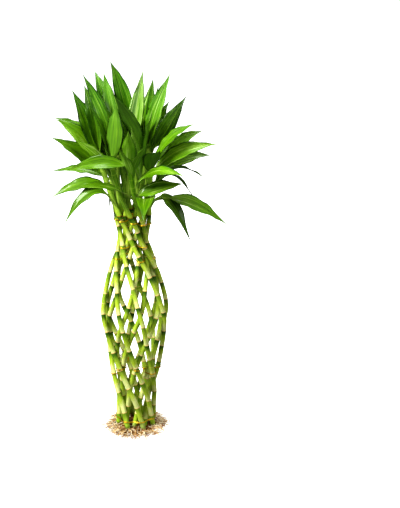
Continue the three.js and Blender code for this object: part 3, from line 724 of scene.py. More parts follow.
def turned(points, degrees):
    """Points turned about the plant's middle line."""
    angle = np.radians(degrees)
    x, y, z = points
    turned_x = x * np.cos(angle) - y * np.sin(angle)
    turned_y = x * np.sin(angle) + y * np.cos(angle)
    return np.stack(np.broadcast_arrays(turned_x, turned_y, z), axis=-1)


def as_grown(stem, leaf, corners):
    """Of the bends, the one whose midrib points are corners of the leaf's shoot's solid: the sum of
    the distances from the midrib to the nearest corners is least. Only bends whose tip is a corner
    are tried."""
    bends = np.meshgrid(BEND_TURNS, BEND_LIFTS, BEND_SLIDES, indexing="ij")
    turn, lift, slide = (grid.reshape(-1) for grid in bends)
    tips = turned(leaf["tip"], turn.astype(float))
    tips[:, 2] += lift
    slides = len(BEND_SLIDES)
    near = np.array([np.min(np.linalg.norm(corners - tip, axis=1)) for tip in tips[::slides]])
    kept = np.flatnonzero(np.repeat(near < 0.05, slides))
    if not len(kept):
        raise RuntimeError(f"no bend of a leaf of {leaf['shoot']} fits its solid")
    along = np.clip(leaf["along"] + slide[kept], LOWEST_LEAF, 1)
    path = leaf_path(stem, along, tips[kept], leaf["arch"])
    shares = (0.5, 0.7, 0.87)
    midrib = np.stack([bezier(*path, np.full(len(kept), share)) for share in shares], axis=1)
    apart = np.linalg.norm(midrib[:, :, None] - corners, axis=-1).min(axis=2).sum(axis=1)
    best = int(np.argmin(apart))
    bent = {"tip": tips[kept][best], "along": float(along[best]), "miss": float(apart[best])}
    return {**leaf, **bent}


def blade_half(width, petiole, share):
    """Half the blade's width: a sine of the share along it, fuller before the middle and drawn out
    at the tip by a power that grows along it, and the petiole's width, which fades to the tip."""
    u = np.clip((share - petiole) / (1 - petiole), 0, 1)
    blade = np.sin(np.pi * u ** BLADE_MIDDLE) ** (BLADE_BLUNTNESS + BLADE_POINT * u)
    return (PETIOLE_WIDTH * (1 - share) + width * blade) / 2


def leaf_rings(stem, leaf, seed, thickness):
    """A leaf: its cross-section carried along its arch. The section is a shallow channel, the power
    of the distance from the midrib, with waved edges, and its underside lies a thickness below,
    which fades to nothing at the edges. The face turns a little along the leaf."""
    share = BLADE_RINGS
    start, control, tip = leaf_path(stem, leaf["along"], leaf["tip"], leaf["arch"])
    centre = bezier(start, control, tip, share)
    direction = bezier_direction(start, control, tip, share)
    outward = unit(leaf["tip"] * [1, 1, 0])
    level = np.broadcast_to([-outward[1], outward[0], 0.0], direction.shape)
    roll = leaf["roll"] + change(seed, BLADE["turn_change"]) * (share - 0.3)
    roll = np.radians(roll)[:, None]
    swung = level * np.cos(roll) + np.cross(direction, level) * np.sin(roll)
    swung += direction * np.sum(direction * level, axis=1, keepdims=True) * (1 - np.cos(roll))
    side, face = cross_axes(direction, swung)
    stalk = 1 - ease(0.5, 1.4, share / leaf["petiole"])
    half = blade_half(leaf["width"], leaf["petiole"], share) + STALK_HALF_WIDTH * stalk
    half = half[:, None]
    top = np.linspace(-1, 1, BLADE_COLUMNS)
    across = np.concatenate([top, top[-2:0:-1]])[None]
    under = np.repeat([0.0, 1.0], [BLADE_COLUMNS, BLADE_COLUMNS - 2])[None]
    fold = BLADE_FOLD + BLADE["foot_fold"] * (1 - ease(0.04, 0.3, share))
    fold = np.radians(fold + change(seed + 1, BLADE["fold_change"]))[:, None]
    length = np.linalg.norm(leaf["tip"] - start)
    phase = 2 * np.pi * (share * length / BLADE["wave_length"] + draw(seed + 2))[:, None]
    blade = (ease(0.15, 0.4, share) * (1 - ease(0.8, 1, share)))[:, None]
    ripple = BLADE["ripple"] * np.sin(BLADE["ripples"] * phase + across)
    wave = blade * np.abs(across) ** 3 * (BLADE["wave"] * np.sin(phase) + ripple)
    raised = half * np.sin(fold) * np.abs(across) ** BLADE["channel"] + wave
    thick = thickness * (1 - BLADE["thinning"] * share) + STALK_THICKNESS * stalk
    thick = thick[:, None] * np.sqrt(1 - across ** 2)
    rings = centre[:, None] + side[:, None] * (half * np.cos(fold) * across)[..., None]
    rings = rings + face[:, None] * (raised - under * thick)[..., None]
    values = {
        "across": across, "under": under, "along": share[:, None], "stalk": stalk[:, None],
        "tone": 0.5 + 0.7 * (leaf["tone"] - 0.5), "seed": float(draw(seed + 3)) * 20,
    }
    return rings[None], values


def stem_rings(stem, sides=14):
    """A stem: circles along its bend. Each leaf's sheath thickens it slowly up to that leaf's foot,
    where the sheath ends in a small step, and the tip is rounded by a square root."""
    feet = sorted({leaf["along"] for leaf in stem["leaves"]})
    steps = np.ravel([[foot - SHEATH["step"], foot + SHEATH["step"]] for foot in feet])
    t = np.unique(np.clip(np.concatenate([np.linspace(0, 1, 60), steps]), 0, 1))
    path = bezier(stem["foot"], stem["control"], stem["end"], t)
    direction = bezier_direction(stem["foot"], stem["control"], stem["end"], t)
    direction = unit(lerp(direction, UP, (1 - ease(0, STEM_UPRIGHT_SHARE, t))[:, None]))
    radius = lerp(SHOOT_FOOT_RADIUS, SHOOT_END_RADIUS, t)
    below = np.full(len(t), 1.0)
    for foot in feet:
        gap = foot - t
        sheath = SHEATH["thickness"] * (1 - ease(0, SHEATH["share"], gap))
        radius = radius + np.where(gap >= 0, sheath, 0)
        below = np.where((gap >= 0) & (gap < below), gap, below)
    radius = np.minimum(radius, SHOOT_FOOT_RADIUS * SHEATH["most"])
    radius = radius * np.sqrt(1 - ease(STEM_TIP_SHARE, 1.02, t))
    rings = sweep(path, direction, around(0, 1, 0), radius, sides)
    ring_x, ring_y = circle(sides)
    values = {
        "along": t[:, None], "below": below[:, None], "seed": float(draw(stem["azimuth"])) * 20,
        "tone": 0.3 + 0.4 * float(draw(stem["azimuth"] + 1)), "ring_x": ring_x, "ring_y": ring_y,
    }
    return rings[None], values


def leaf_material(colours):
    """Glossy blade: long streaks and fine parallel veins that follow the outline, a paler midrib
    groove, darker edges, a lighter foot, a duller underside, and its own tone from deep green to
    lime. The whitish-green of its lightest streaks is a painted highlight. The crown's top gets a
    cooler cast and more of those streaks as painted sheen, and a tone below zero is a withered
    leaf."""
    shader = Shader(
        "leaf_green", Specular_IOR_Level=0.3, Specular_Tint=GREEN_GLOSS, Coat_Roughness=0.15
    )
    names = ("across", "along", "under", "tone", "seed", "stalk")
    across, along, under, tone, seed, stalk = map(shader.value, names)
    veins = (across * 47 + seed).sine()
    fine = shader.noise(shader.vector(across * 20, along * 1.2, seed), detail=4.0, roughness=0.65)
    streaks = shader.noise(shader.vector(across * 6, along * 1.1, seed + 7))
    broad = shader.noise(shader.vector(across * 1.6, along * 3.0, seed), detail=2.0)
    # high marks the crown's top leaves by height: there painted sheen gives a cooler cast and more
    # pale streaks
    high = shader.node("ShaderNodeSeparateXYZ", {}, {0: shader.place()}, 2).rise(0.57, 0.67)
    off_midrib = across.size()
    midrib = off_midrib.rise(0.05, 0.0)
    worn = (along + (broad - 0.5) * 0.05).rise(0.975, 1.0)
    depth = tone + (broad - 0.5) * 0.7 + (fine - 0.5) * 1.3 + (streaks - 0.5) * 1.0 + veins * 0.05
    depth = depth + along.rise(0.3, 0.02) * 0.35 - off_midrib.rise(0.75, 1.0) * 0.25
    depth = depth + (fine + streaks - 1.0) * high * 0.8
    tint = shader.paint(
        colours.leaf_dark,
        (depth.rise(0.0, 0.6), shader.mix(high * 0.7, colours.leaf_green, colours.leaf_painted_cool_sheen)),
        (depth.rise(0.5, 1.1), colours.leaf_lime),
        # painted highlight: whitish-green streaks over the lightest parts of a leaf
        (depth.rise(0.6, 1.2) * 0.7, colours.leaf_painted_highlight),
        (midrib * 0.12, colours.leaf_lime),
        (stalk * 0.6, colours.stem_pale),
        (under * 0.3, colours.leaf_under),
        (worn * 0.7, colours.leaf_tip),
        (tone.rise(0.05, -0.1), shader.mix(fine, colours.leaf_dark, colours.leaf_dry)),
    )
    roughness = 0.3 + fine * 0.12 + streaks * 0.08 + under * 0.14
    relief = veins * 0.3 + fine * 1.1 + streaks * 0.6 - midrib * 0.8
    shader.put(shader.inputs["Coat Weight"], 0.3 - under * 0.25)
    return shader.finish(tint, roughness, relief, 0.00025)


def stem_material(colours):
    """Sheathed stem: yellow-green with crisp pale streaks along it, each stem with its own tone, a
    thin pale edge where a sheath ends, and a brown dry ring where it leaves its cane."""
    shader = Shader("stem_green", Specular_IOR_Level=0.35, Specular_Tint=GREEN_GLOSS)
    along, below, seed, tone = map(shader.value, ("along", "below", "seed", "tone"))
    streak = shader.round_noise(9, along * 2 + seed, 4.0)
    cloud = shader.round_noise(1, along * 5 + seed, 2.0)
    depth = tone + (cloud - 0.5) * 0.8 + (streak - 0.5) * 2.0
    tint = shader.paint(
        colours.leaf_dark,
        (depth.rise(-0.05, 0.35), colours.stem_green),
        (depth.rise(0.3, 0.85), colours.stem_pale),
        (below.rise(0.02, 0.0) * 0.6, colours.stem_pale),
        (along.rise(0.3, 0.05) * 0.5, colours.cane_lime),
        (along.rise(0.03, 0.01) * 0.8, colours.scar),
    )
    return shader.finish(tint, 0.34 + streak * 0.2, streak, 0.0003)


# Root mat

def rim_root_paths():
    """The thicker roots that leave the mat's rim: smooth curves through four points each."""
    n = np.arange(RIM_ROOTS, dtype=float)
    azimuth = 360 * (n + 0.7 * draw(n)) / RIM_ROOTS
    swing = RIM_ROOT["swing"] * (draw(n + 100) - 0.5)
    start = MAT_RADIUS - RIM_ROOT["inset"] + RIM_ROOT["inset_spread"] * draw(n + 200)
    reach = MAT_RADIUS + RIM_ROOT["reach"] + RIM_ROOT["reach_spread"] * draw(n + 300) ** 1.5
    crest = RIM_ROOT["crest"] + RIM_ROOT["crest_spread"] * draw(n + 400)
    stations = np.stack([
        around(azimuth, start, RIM_ROOT["height"]),
        around(azimuth + 0.3 * swing, lerp(start, reach, 0.45), crest),
        around(azimuth - 0.2 * swing, lerp(start, reach, 0.75), lerp(crest, 1.2, 0.6)),
        around(azimuth + 0.5 * swing, reach, 1.2),
    ], axis=1)
    slope = np.gradient(stations, axis=1)
    at = np.linspace(0, 3, 16)
    i = np.minimum(at.astype(int), 2)
    ends = (stations[:, i], stations[:, i + 1], slope[:, i], slope[:, i + 1])
    return cubic(*ends, (at - i)[:, None])


def fine_root_paths(count, steps=15):
    """Fine roots: each walks from a point of the mat in a heading that drifts and swings like a
    sine, at its own share of the mat's mound, which falls to the ground at the rim. Every few roots
    one is a runner that leaves the rim, and on the front all of them may reach further."""
    n = np.arange(count, dtype=float)[:, None]
    t = np.linspace(0, 1, steps)[None]
    azimuth = 360 * draw(n + 1000)
    runner = n % RUNNER_EVERY == 0
    start = np.where(runner, 0.8 + 0.15 * draw(n + 2000), 0.2 + 0.8 * draw(n + 2000) ** 0.75)
    start = MAT_RADIUS * start
    drift = change(n + 3000, FINE_ROOT["heading"]) + change(n + 4000, FINE_ROOT["drift"]) * t
    swings = (0.8 + 1.2 * draw(n + 5000)) * t + draw(n + 6000)
    heading = azimuth + np.where(runner, 0.5, 1) * drift
    heading = heading + FINE_ROOT["swing"] * np.sin(2 * np.pi * swings)
    length = FINE_ROOT["length"] + FINE_ROOT["length_spread"] * draw(n + 7000)
    step = around(heading, length / (steps - 1), 0.0)
    path = around(azimuth, start, 0.0) + np.cumsum(step, axis=1)
    reach = np.hypot(path[..., 0], path[..., 1])
    front = 0.5 - 0.5 * path[..., 1] / np.maximum(reach, 1)
    further = FINE_ROOT["runner_reach"] + FINE_ROOT["runner_spread"] * draw(n + 8000)
    most = FINE_ROOT["reach"] + FINE_ROOT["front_reach"] * front * draw(n + 8500)
    most = most + np.where(runner, further, 0)
    path[..., :2] *= np.minimum(1, most / np.maximum(reach, 1))[..., None]
    reach = np.minimum(reach, most)
    mound = MOUND["height"] * (1 - np.clip(reach / MOUND["reach"], 0, 1) ** MOUND["power"])
    mound = mound + MOUND["heap"] * (1 - ease(*MOUND["heap_edge"], reach))
    wobble = np.sin(2 * np.pi * ((1 + draw(n + 9000)) * t + draw(n + 9500)))
    rise = mound * (0.25 + 0.85 * draw(n + 9900)) + FINE_ROOT["wobble"] * wobble
    path[..., 2] = np.maximum(rise, FINE_ROOT["lowest"])
    return path


def core_rings():
    """The mat's core: a turned section whose radius two sines make lobed, and whose height small
    draws make lumpy over the ground."""
    share, rise = np.array(CORE).T[..., None]
    turn = np.arange(0, 360, 5.0)
    lobes = 1 + 0.05 * np.sin(np.radians(5 * turn)) + 0.04 * np.sin(np.radians(11 * turn + 40))
    lumps = CORE_LUMPS * (draw(np.arange(len(CORE))[:, None] * 97 + np.arange(len(turn))) - 0.5)
    return around(turn[None], MAT_RADIUS * share * lobes, rise + lumps * (rise > 1))[None]


def root_skin(sizes):
    """A lumpy core, near-black as painted shade between the roots, with a skin of roots: every root
    a slim tapering tube.
    """
    made = Skin()
    made.add(core_rings(), {"tone": 0.0}, slot=1)
    n = np.arange(RIM_ROOTS)
    rim = rim_root_paths()
    thick = RIM_ROOT_RADIUS * (0.8 + 0.4 * draw(n + 500))[:, None]
    thick = thick * np.linspace(1, 0.55, rim.shape[1])
    values = {"tone": draw(n + 31)[:, None, None] * 0.6 + 0.4}
    made.add(sweep(rim, tangents(rim), UP, thick, 6), values)
    count = sizes.root_count
    fine = fine_root_paths(count)
    n = np.arange(count)
    thick = (sizes.root_radius / MM) * (0.6 + 0.9 * draw(n + 77) ** 2)[:, None]
    thick = thick * np.linspace(1, 0.45, fine.shape[1])
    reach = np.hypot(fine[:, 0, 0], fine[:, 0, 1])
    # Part of the tone is painted light and shade: a root is paler the higher it lies in the mound
    # and darker near the middle, among the canes' feet; the rest is its own tone
    tone = 0.85 * draw(n + 177) + 0.55 * draw(n + 9900) - 0.2 - 0.35 * (1 - ease(24, 44, reach))
    tone = tone - 0.1 * (n % RUNNER_EVERY == 0)
    made.add(sweep(fine, tangents(fine), UP, thick, 5), {"tone": tone[:, None, None]})
    return made


def root_material(colours):
    """Dry root: dark, brown, tan to pale cream by root, stained brown in patches. Part of a fine
    root's tone is painted light and shade, set by its height and its nearness to the middle.
    """
    shader = Shader("root_tan", Specular_IOR_Level=0.3)
    tone, place = shader.value("tone"), shader.place()
    patch = shader.noise(place, 60.0)
    grain = shader.noise(place, 900.0, 2.0)
    tint = shader.paint(
        colours.root_dark_and_shade,
        (tone.rise(-0.2, 0.25), colours.root_brown),
        (tone.rise(0.2, 0.45), colours.root_tan),
        (tone.rise(0.45, 0.8), colours.root_pale),
        (patch.rise(0.58, 0.74) * 0.6, colours.root_brown),
        (grain * 0.12, colours.root_dark_and_shade),
    )
    return shader.finish(tint, 0.75 + grain * 0.2, grain, 0.0003)


def core_material(colours):
    """The mat's inside between the roots: near-black as painted shade in the deep gaps, with
    crumbly dark brown.
    """
    shader = Shader("root_core", Specular_IOR_Level=0.2)
    place = shader.place()
    crumbs = shader.noise(place, 500.0, 4.0, 0.7)
    patch = shader.noise(place, 90.0, 2.0)
    tint = shader.paint(
        colours.root_dark_and_shade,
        (crumbs.rise(0.35, 0.7), colours.root_brown),
        (patch.rise(0.4, 0.6) * 0.5, colours.root_dark_and_shade),
    )
    return shader.finish(tint, 0.95, crumbs, 0.0012)


# Wire ties

def ring_tie_path(outer, offset):
    """The ring tie: over each outer cane's outside, in towards the middle between two canes by a
    squared sine, and tilted by a cosine of its azimuth."""
    order = sorted(range(len(OUTER_AZIMUTHS)), key=lambda cane: OUTER_AZIMUTHS[cane] % 360)
    turn = np.arange(RING_TIE["steps"] * len(order)) / RING_TIE["steps"]
    place = turn.astype(int)
    share = turn - place
    height = np.full(len(turn), float(RING_TIE["height"]))
    for _ in range(4):
        azimuths = np.stack([outer.azimuth(cane, height) for cane in order])
        here = azimuths[place, np.arange(len(turn))]
        there = azimuths[(place + 1) % len(order), np.arange(len(turn))]
        azimuth = here + share * ((there - here) % 360)
        tilt = RING_TIE["tilt"] * np.cos(np.radians(azimuth - RING_TIE["tilt_azimuth"]))
        height = RING_TIE["height"] + tilt
    over = outer.diameter(height) * CORNER_REACH * JOINT_LIP / 2 + TIE_RADIUS
    dip = 1 - RING_TIE["dip"] * np.sin(np.pi * share) ** 2
    return around(azimuth, outer.outer_radius(height) + over * dip, height + offset)


def crossing_near(outer, inner, cane, height):
    """Of the heights where the outer cane and an inner one share an azimuth, the one nearest to
    the height asked."""
    z = np.arange(height - 30, height + 30.25, 0.5)
    others = np.stack([inner.azimuth(other, z) for other in range(len(INNER_AZIMUTHS))])
    miss = np.abs((outer.azimuth(cane, z) - others + 180) % 360 - 180)
    found = z[np.nonzero(miss < 0.5)[1]]
    return float(found[np.argmin(np.abs(found - height))])


def loop_tie_path(outer, inner, cane, near):
    """A level loop round both canes of a crossing: two half circles joined by straights, drawn out
    sideways as a leaning cane's level section is."""
    height = crossing_near(outer, inner, cane, near)
    azimuth = outer.azimuth(cane, height)
    wrap = outer.diameter(height) * CORNER_REACH * JOINT_LIP * LOOP_TIE["room"] / 2 + TIE_RADIUS
    angle = 2 * np.pi * (np.arange(LOOP_TIE["steps"]) + 0.5) / LOOP_TIE["steps"]
    middle = np.where(np.cos(angle) > 0, outer.radius(height), inner.radius(height))
    drawn_out = wrap / outer.direction(cane, height)[2]
    sideways = around(azimuth + 90, drawn_out * np.sin(angle), 0.0)
    return around(azimuth, middle + wrap * np.cos(angle), height) + sideways


def pigtail(path, number, radius, steps=40):
    """The tie's twisted ends: two helices wound round a short line that points down the cane."""
    base = path[number]
    t = np.linspace(0, 1, steps)
    outward = unit(base * [1, 1, 0])
    out = TIE_ENDS["near"] + TIE_ENDS["far"] * t
    line = base + outward * out[:, None] - UP * (TIE_ENDS["drop"] * t)[:, None]
    side, front = cross_axes(tangents(line), outward)
    angle = np.array([0, np.pi])[:, None, None] + (2 * np.pi * TIE_ENDS["turns"] * t)[:, None]
    return line + radius * (side * np.cos(angle) + front * np.sin(angle))


def wire_material(colours):
    """Gold wire, tarnished in patches, and browner as a whole by each tie's own amount, which its
    row sets.
    """
    shader = Shader("wire_gold", Metallic=1.0)
    tarnish = shader.noise(shader.place(), 250.0)
    aged = (tarnish - 0.15 + shader.value("dull") * 0.35).rise(0.35, 0.65) * 0.8
    tint = shader.mix(aged, colours.wire_gold, colours.wire_dull)
    return shader.finish(tint, 0.22 + tarnish * 0.25, tarnish, 0.0001)


# Settings

def amount_setting(name, description, default, **kind):
    """A number from 0 up."""
    return bpy.props.FloatProperty(
        name=name, description=description, default=default, min=0.0, **kind
    )


def length_setting(name, description, default):
    """A length in metres."""
    return amount_setting(name, description, default, subtype="DISTANCE", unit="LENGTH")


def colour_setting(name, description, default):
    """A colour as linear values."""
    return bpy.props.FloatVectorProperty(
        name=name, description=description, default=default, size=3, min=0.0, max=1.0,
        subtype="COLOR",
    )


class BAMBOO_PG_sizes(bpy.types.PropertyGroup):
    """Sizes of the pieces."""

    cane_foot_diameter: length_setting("Cane foot", "Thickness of a cane at its foot", 0.0096)
    cane_top_diameter: length_setting("Cane top", "Thickness of a cane at its top", 0.008)
    blade_thickness: length_setting("Blade thickness", "Thickness of a leaf at its midrib", 0.0009)
    root_radius: length_setting("Root radius", "Radius of the fine roots", 0.00062)
    wire_radius: length_setting("Wire radius", "Radius of one turn of a tie", 0.0005)
    root_count: bpy.props.IntProperty(
        name="Fine roots", description="Number of fine roots in the mat", default=600, min=0
    )


class BAMBOO_PG_colours(bpy.types.PropertyGroup):
    """Colours of the finishes, as linear values."""

    cane_dark: colour_setting("Cane dark", "Cane just under a joint", (0.016, 0.082, 0.003))
    cane_green: colour_setting("Cane green", "Upper half of an internode", (0.17, 0.32, 0.006))
    cane_lime: colour_setting("Cane lime", "Middle of an internode", (0.43, 0.58, 0.03))
    cane_pale: colour_setting("Cane pale", "Foot of an internode", (0.75, 0.79, 0.30))
    cane_collar: colour_setting("Cane collar", "Collar over a joint", (0.86, 0.64, 0.24))
    cane_foot: colour_setting("Cane foot", "Fresh green above the roots", (0.20, 0.42, 0.015))
    scar: colour_setting("Joint scar", "Thin dry ring of a joint", (0.42, 0.16, 0.012))
    leaf_dark: colour_setting("Leaf dark", "Darkest leaves", (0.006, 0.045, 0.0008))
    leaf_green: colour_setting("Leaf green", "Middle leaves", (0.096, 0.240, 0.001))
    leaf_lime: colour_setting("Leaf lime", "Youngest leaves", (0.38, 0.57, 0.006))
    # Painted sheen: the cooler cast of the crown's top leaves
    leaf_painted_cool_sheen: colour_setting("Leaf cool", "Cast of the crown's top leaves", (0.055, 0.235, 0.012))
    # Painted highlight: the whitish-green of the leaves' lightest streaks
    leaf_painted_highlight: colour_setting("Leaf pale", "Streaks of the palest leaves", (0.44, 0.60, 0.40))
    leaf_under: colour_setting("Leaf underside", "Duller underside", (0.13, 0.27, 0.03))
    leaf_tip: colour_setting("Leaf tip", "Dry point of a leaf", (0.20, 0.17, 0.04))
    leaf_dry: colour_setting("Dry leaf", "The one withered leaf", (0.26, 0.08, 0.015))
    stem_green: colour_setting("Stem green", "Sheathed stem", (0.12, 0.29, 0.005))
    stem_pale: colour_setting("Stem pale", "Streaks and sheath edges", (0.42, 0.60, 0.08))
    root_tan: colour_setting("Root tan", "Most roots", (0.66, 0.40, 0.14))
    root_pale: colour_setting("Root pale", "Palest roots", (0.92, 0.82, 0.56))
    root_brown: colour_setting("Root brown", "Stained roots", (0.34, 0.14, 0.03))
    # Painted shade: the near-black of the gaps between roots, also the darkest roots' own colour
    root_dark_and_shade: colour_setting("Root dark", "Gaps between roots", (0.020, 0.010, 0.004))
    wire_gold: colour_setting("Wire gold", "Ties", (1.0, 0.66, 0.04))
    wire_dull: colour_setting("Wire dull", "Tarnished patches of the ties", (0.42, 0.20, 0.02))


class BAMBOO_PG_stage(bpy.types.PropertyGroup):
    """Floor and light."""

    floor: colour_setting("Floor", "Colour of the floor", (0.94, 0.94, 0.94))
    key_power: amount_setting("Key light", "Power of the light on the left", 150.0, unit="POWER")
    fill_power: amount_setting("Fill light", "Power of the light on the right", 20.0, unit="POWER")
    surround: amount_setting("Surround", "Strength of the even light from all round", 0.18)
    floor_glow: amount_setting("Floor glow", "Light from the floor, as a light table gives", 0.8)


# Operators

class BAMBOO_OT_canes(bpy.types.Operator):
    """Builds the woven canes, one piece each: circles carried along two opposed windings"""

    bl_idname = "bamboo.canes"
    bl_label = "Woven canes"

    def execute(self, context):
        material = cane_material(context.scene.bamboo_colours)
        for layer in layers(context.scene.bamboo_sizes):
            for cane in range(len(layer.azimuths)):
                skin = Skin()
                skin.add(*cane_rings(layer, cane))
                node = f"{layer.name}_cane_{cane + 1}"
                stand_for(skin.piece(f"{node}_grown", [material]), node)
        return {"FINISHED"}


class BAMBOO_OT_shoots(bpy.types.Operator):
    """Builds the leafy shoots, one piece each: a sheathed stem and arched, folded blades"""

    bl_idname = "bamboo.shoots"
    bl_label = "Leafy shoots"

    def execute(self, context):
        sizes, colours = context.scene.bamboo_sizes, context.scene.bamboo_colours
        materials = [leaf_material(colours), stem_material(colours)]
        thickness = sizes.blade_thickness / MM
        stems = shoots(layers(sizes))
        corners = {}
        for name in stems:
            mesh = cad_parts[name].data
            points = np.empty(3 * len(mesh.vertices), np.float32)
            mesh.vertices.foreach_get("co", points)
            corners[name] = np.unique(points.reshape(-1, 3).round(6), axis=0) / MM
        for leaf in leaf_list(stems):
            name = leaf["shoot"]
            stems[name]["leaves"].append(as_grown(stems[name], leaf, corners[name]))
        worst = max(leaf["miss"] for stem in stems.values() for leaf in stem["leaves"])
        print(f"leaves as grown, largest miss {worst:.3f} mm")
        for number, (name, stem) in enumerate(stems.items()):
            skin = Skin()
            for place, leaf in enumerate(stem["leaves"]):
                skin.add(*leaf_rings(stem, leaf, 50 * number + 5 * place, thickness))
            skin.add(*stem_rings(stem), slot=1)
            stand_for(skin.piece(f"{name}_grown", materials), name)
        return {"FINISHED"}


class BAMBOO_OT_roots(bpy.types.Operator):
    """Builds the root mat: a dark core under a tangle of slim tubes"""

    bl_idname = "bamboo.roots"
    bl_label = "Root mat"

    def execute(self, context):
        colours = context.scene.bamboo_colours
        materials = [root_material(colours), core_material(colours)]
        piece = root_skin(context.scene.bamboo_sizes).piece("root_mat_grown", materials)
        stand_for(piece, "root_mat")
        return {"FINISHED"}


class BAMBOO_OT_ties(bpy.types.Operator):
    """Builds the wire ties: two turns side by side and their twisted ends, round the canes"""

    bl_idname = "bamboo.ties"
    bl_label = "Wire ties"

    def execute(self, context):
        material = wire_material(context.scene.bamboo_colours)
        outer, inner = layers(context.scene.bamboo_sizes)
        radius = context.scene.bamboo_sizes.wire_radius / MM
        sides = (-1, 1)
        turns = [ring_tie_path(outer, side * radius * RING_TURN_OFF) for side in sides]
        ties = {"wire_ring_foot": (np.stack(turns), RING_TIE["ends_at"], TIE_DULLNESS["foot"])}
        for row, heights in LOOP_TIES.items():
            for cane in range(len(OUTER_AZIMUTHS)):
                path = loop_tie_path(outer, inner, cane, heights[cane % len(heights)])
                turns = np.stack([path + UP * side * radius * LOOP_TURN_OFF for side in sides])
                name = f"wire_loop_{row}_{cane + 1}"
                ties[name] = (turns, LOOP_TIE["ends_at"], TIE_DULLNESS[row])
        for name, (turns, ends_at, dull) in ties.items():
            skin = Skin()
            around_turn = unit(np.roll(turns, -1, axis=1) - np.roll(turns, 1, axis=1))
            thick = np.full(turns.shape[:2], radius)
            skin.add(sweep(turns, around_turn, UP, thick, 8), {"dull": dull}, looped=True)
            ends = pigtail(turns[0], ends_at, radius)
            thick = np.full(ends.shape[:2], radius * TIE_ENDS["thickness"])
            skin.add(sweep(ends, tangents(ends), around(0, 1, 0.3), thick, 6), {"dull": dull})
            stand_for(skin.piece(f"{name}_wound", [material]), name)
        return {"FINISHED"}


# The camera stands at the photo's viewing angle and distance
CAMERA = {"place": (0.1227, -2.44, 1.214), "pitch": 19.5, "lens": 99.2, "sensor_height": 36.0}
# A light's place and width, the setting that gives its power, and how many times that it has
LIGHTS = {
    "key": ((-1.7, -1.3, 2.2), 1.2, "key_power", 1),
    "fill": ((1.9, -1.2, 1.2), 1.4, "fill_power", 1),
    "top": ((0.2, 0.6, 2.6), 1.4, "fill_power", 3),
}
LIGHTS_AIM = (0, 0, 0.35)
FLOOR_REACH = 6.0
FLOOR_CLOUD = (0.85, 0.85, 0.86)
SKY = (0.95, 0.98, 1.0)
WHITE = (1.0, 1.0, 1.0)


def pale_floor(stage):
    """A large square on the ground, which lights itself a little and none of the plant."""
    mesh = bpy.data.meshes.new("floor")
    corners = np.array([(-1, -1, 0), (1, -1, 0), (1, 1, 0), (-1, 1, 0)]) * FLOOR_REACH
    mesh.from_pydata(corners.tolist(), [], [(0, 1, 2, 3)])
    shader = Shader("floor_white", Specular_IOR_Level=0.1, Emission_Strength=stage.floor_glow)
    cloud = shader.noise(shader.place(), 3.0, 2.0)
    tint = shader.mix(cloud * 0.05, stage.floor, FLOOR_CLOUD)
    shader.put(shader.inputs["Emission Color"], tint)
    mesh.materials.append(shader.finish(tint, 0.6))
    floor = bpy.data.objects.new("floor", mesh)
    bpy.context.scene.collection.objects.link(floor)
    floor.visible_diffuse = floor.visible_glossy = False


def softbox(name, place, width, power):
    """A square light that faces the middle of the plant."""
    data = bpy.data.lights.new(name, "AREA")
    data.shape = "SQUARE"
    data.size = width
    data.energy = power
    lamp = bpy.data.objects.new(name, data)
    lamp.location = place
    x, y, z = (aim - at for aim, at in zip(LIGHTS_AIM, place))
    tilt = math.acos(-z / math.sqrt(x * x + y * y + z * z))
    lamp.rotation_euler = (tilt, 0, math.atan2(-x, y))
    bpy.context.scene.collection.objects.link(lamp)


def surround(scene, strength):
    """Even light from all round, behind which the background stays white."""
    world = bpy.data.worlds.new("surround")
    world.use_nodes = True
    graph = Graph(world.node_tree)
    seen = graph.node("ShaderNodeLightPath", {}, {}, "Is Camera Ray")
    even = graph.node("ShaderNodeBackground", {}, {"Color": SKY, "Strength": strength})
    white = graph.node("ShaderNodeBackground", {}, {"Color": WHITE})
    mixed = graph.node("ShaderNodeMixShader", {}, {0: seen, 1: even, 2: white})
    graph.node("ShaderNodeOutputWorld", {}, {"Surface": mixed})
    scene.world = world


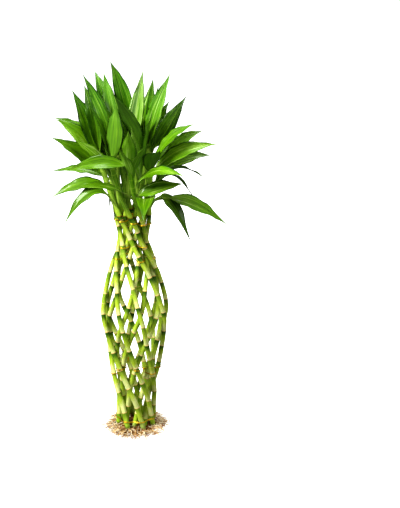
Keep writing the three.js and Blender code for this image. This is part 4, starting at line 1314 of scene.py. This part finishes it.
def photo_camera(scene):
    """The camera, level from side to side and pitched down at the plant."""
    data = bpy.data.cameras.new("camera")
    data.sensor_fit = "VERTICAL"
    data.sensor_height = CAMERA["sensor_height"]
    data.lens = CAMERA["lens"]
    camera = bpy.data.objects.new("camera", data)
    camera.location = CAMERA["place"]
    camera.rotation_euler = (math.radians(90 - CAMERA["pitch"]), 0, 0)
    scene.collection.objects.link(camera)
    scene.camera = camera


class BAMBOO_OT_stage(bpy.types.Operator):
    """Builds the pale floor, the soft studio light and the camera"""

    bl_idname = "bamboo.stage"
    bl_label = "Floor, light and camera"

    def execute(self, context):
        scene, stage = context.scene, context.scene.bamboo_stage
        pale_floor(stage)
        for name, (place, width, setting, times) in LIGHTS.items():
            softbox(name, place, width, getattr(stage, setting) * times)
        surround(scene, stage.surround)
        photo_camera(scene)
        scene.view_settings.view_transform = "Standard"
        scene.view_settings.look = "Medium High Contrast"
        return {"FINISHED"}


OPERATORS = (BAMBOO_OT_canes, BAMBOO_OT_shoots, BAMBOO_OT_roots, BAMBOO_OT_ties, BAMBOO_OT_stage)


class BAMBOO_PT_panel(bpy.types.Panel):
    """Lists the builders in the sidebar"""

    bl_idname = "BAMBOO_PT_panel"
    bl_label = "Woven lucky bamboo"
    bl_space_type = "VIEW_3D"
    bl_region_type = "UI"
    bl_category = "Bamboo"

    def draw(self, context):
        scene = context.scene
        for group in (scene.bamboo_sizes, scene.bamboo_colours, scene.bamboo_stage):
            box = self.layout.box()
            for name in group.__annotations__:
                box.prop(group, name)
        for operator in OPERATORS:
            self.layout.operator(operator.bl_idname)


GROUPS = {
    "bamboo_sizes": BAMBOO_PG_sizes,
    "bamboo_colours": BAMBOO_PG_colours,
    "bamboo_stage": BAMBOO_PG_stage,
}


def register():
    for group in (*GROUPS.values(), *OPERATORS, BAMBOO_PT_panel):
        bpy.utils.register_class(group)
    for name, group in GROUPS.items():
        setattr(bpy.types.Scene, name, bpy.props.PointerProperty(type=group))


def unregister():
    for name in GROUPS:
        delattr(bpy.types.Scene, name)
    for group in reversed((*GROUPS.values(), *OPERATORS, BAMBOO_PT_panel)):
        bpy.utils.unregister_class(group)


def main():
    """Builds every piece through its operator."""
    register()
    bpy.ops.bamboo.canes()
    bpy.ops.bamboo.shoots()
    bpy.ops.bamboo.roots()
    bpy.ops.bamboo.ties()
    bpy.ops.bamboo.stage()


if __name__ == "__main__":
    main()
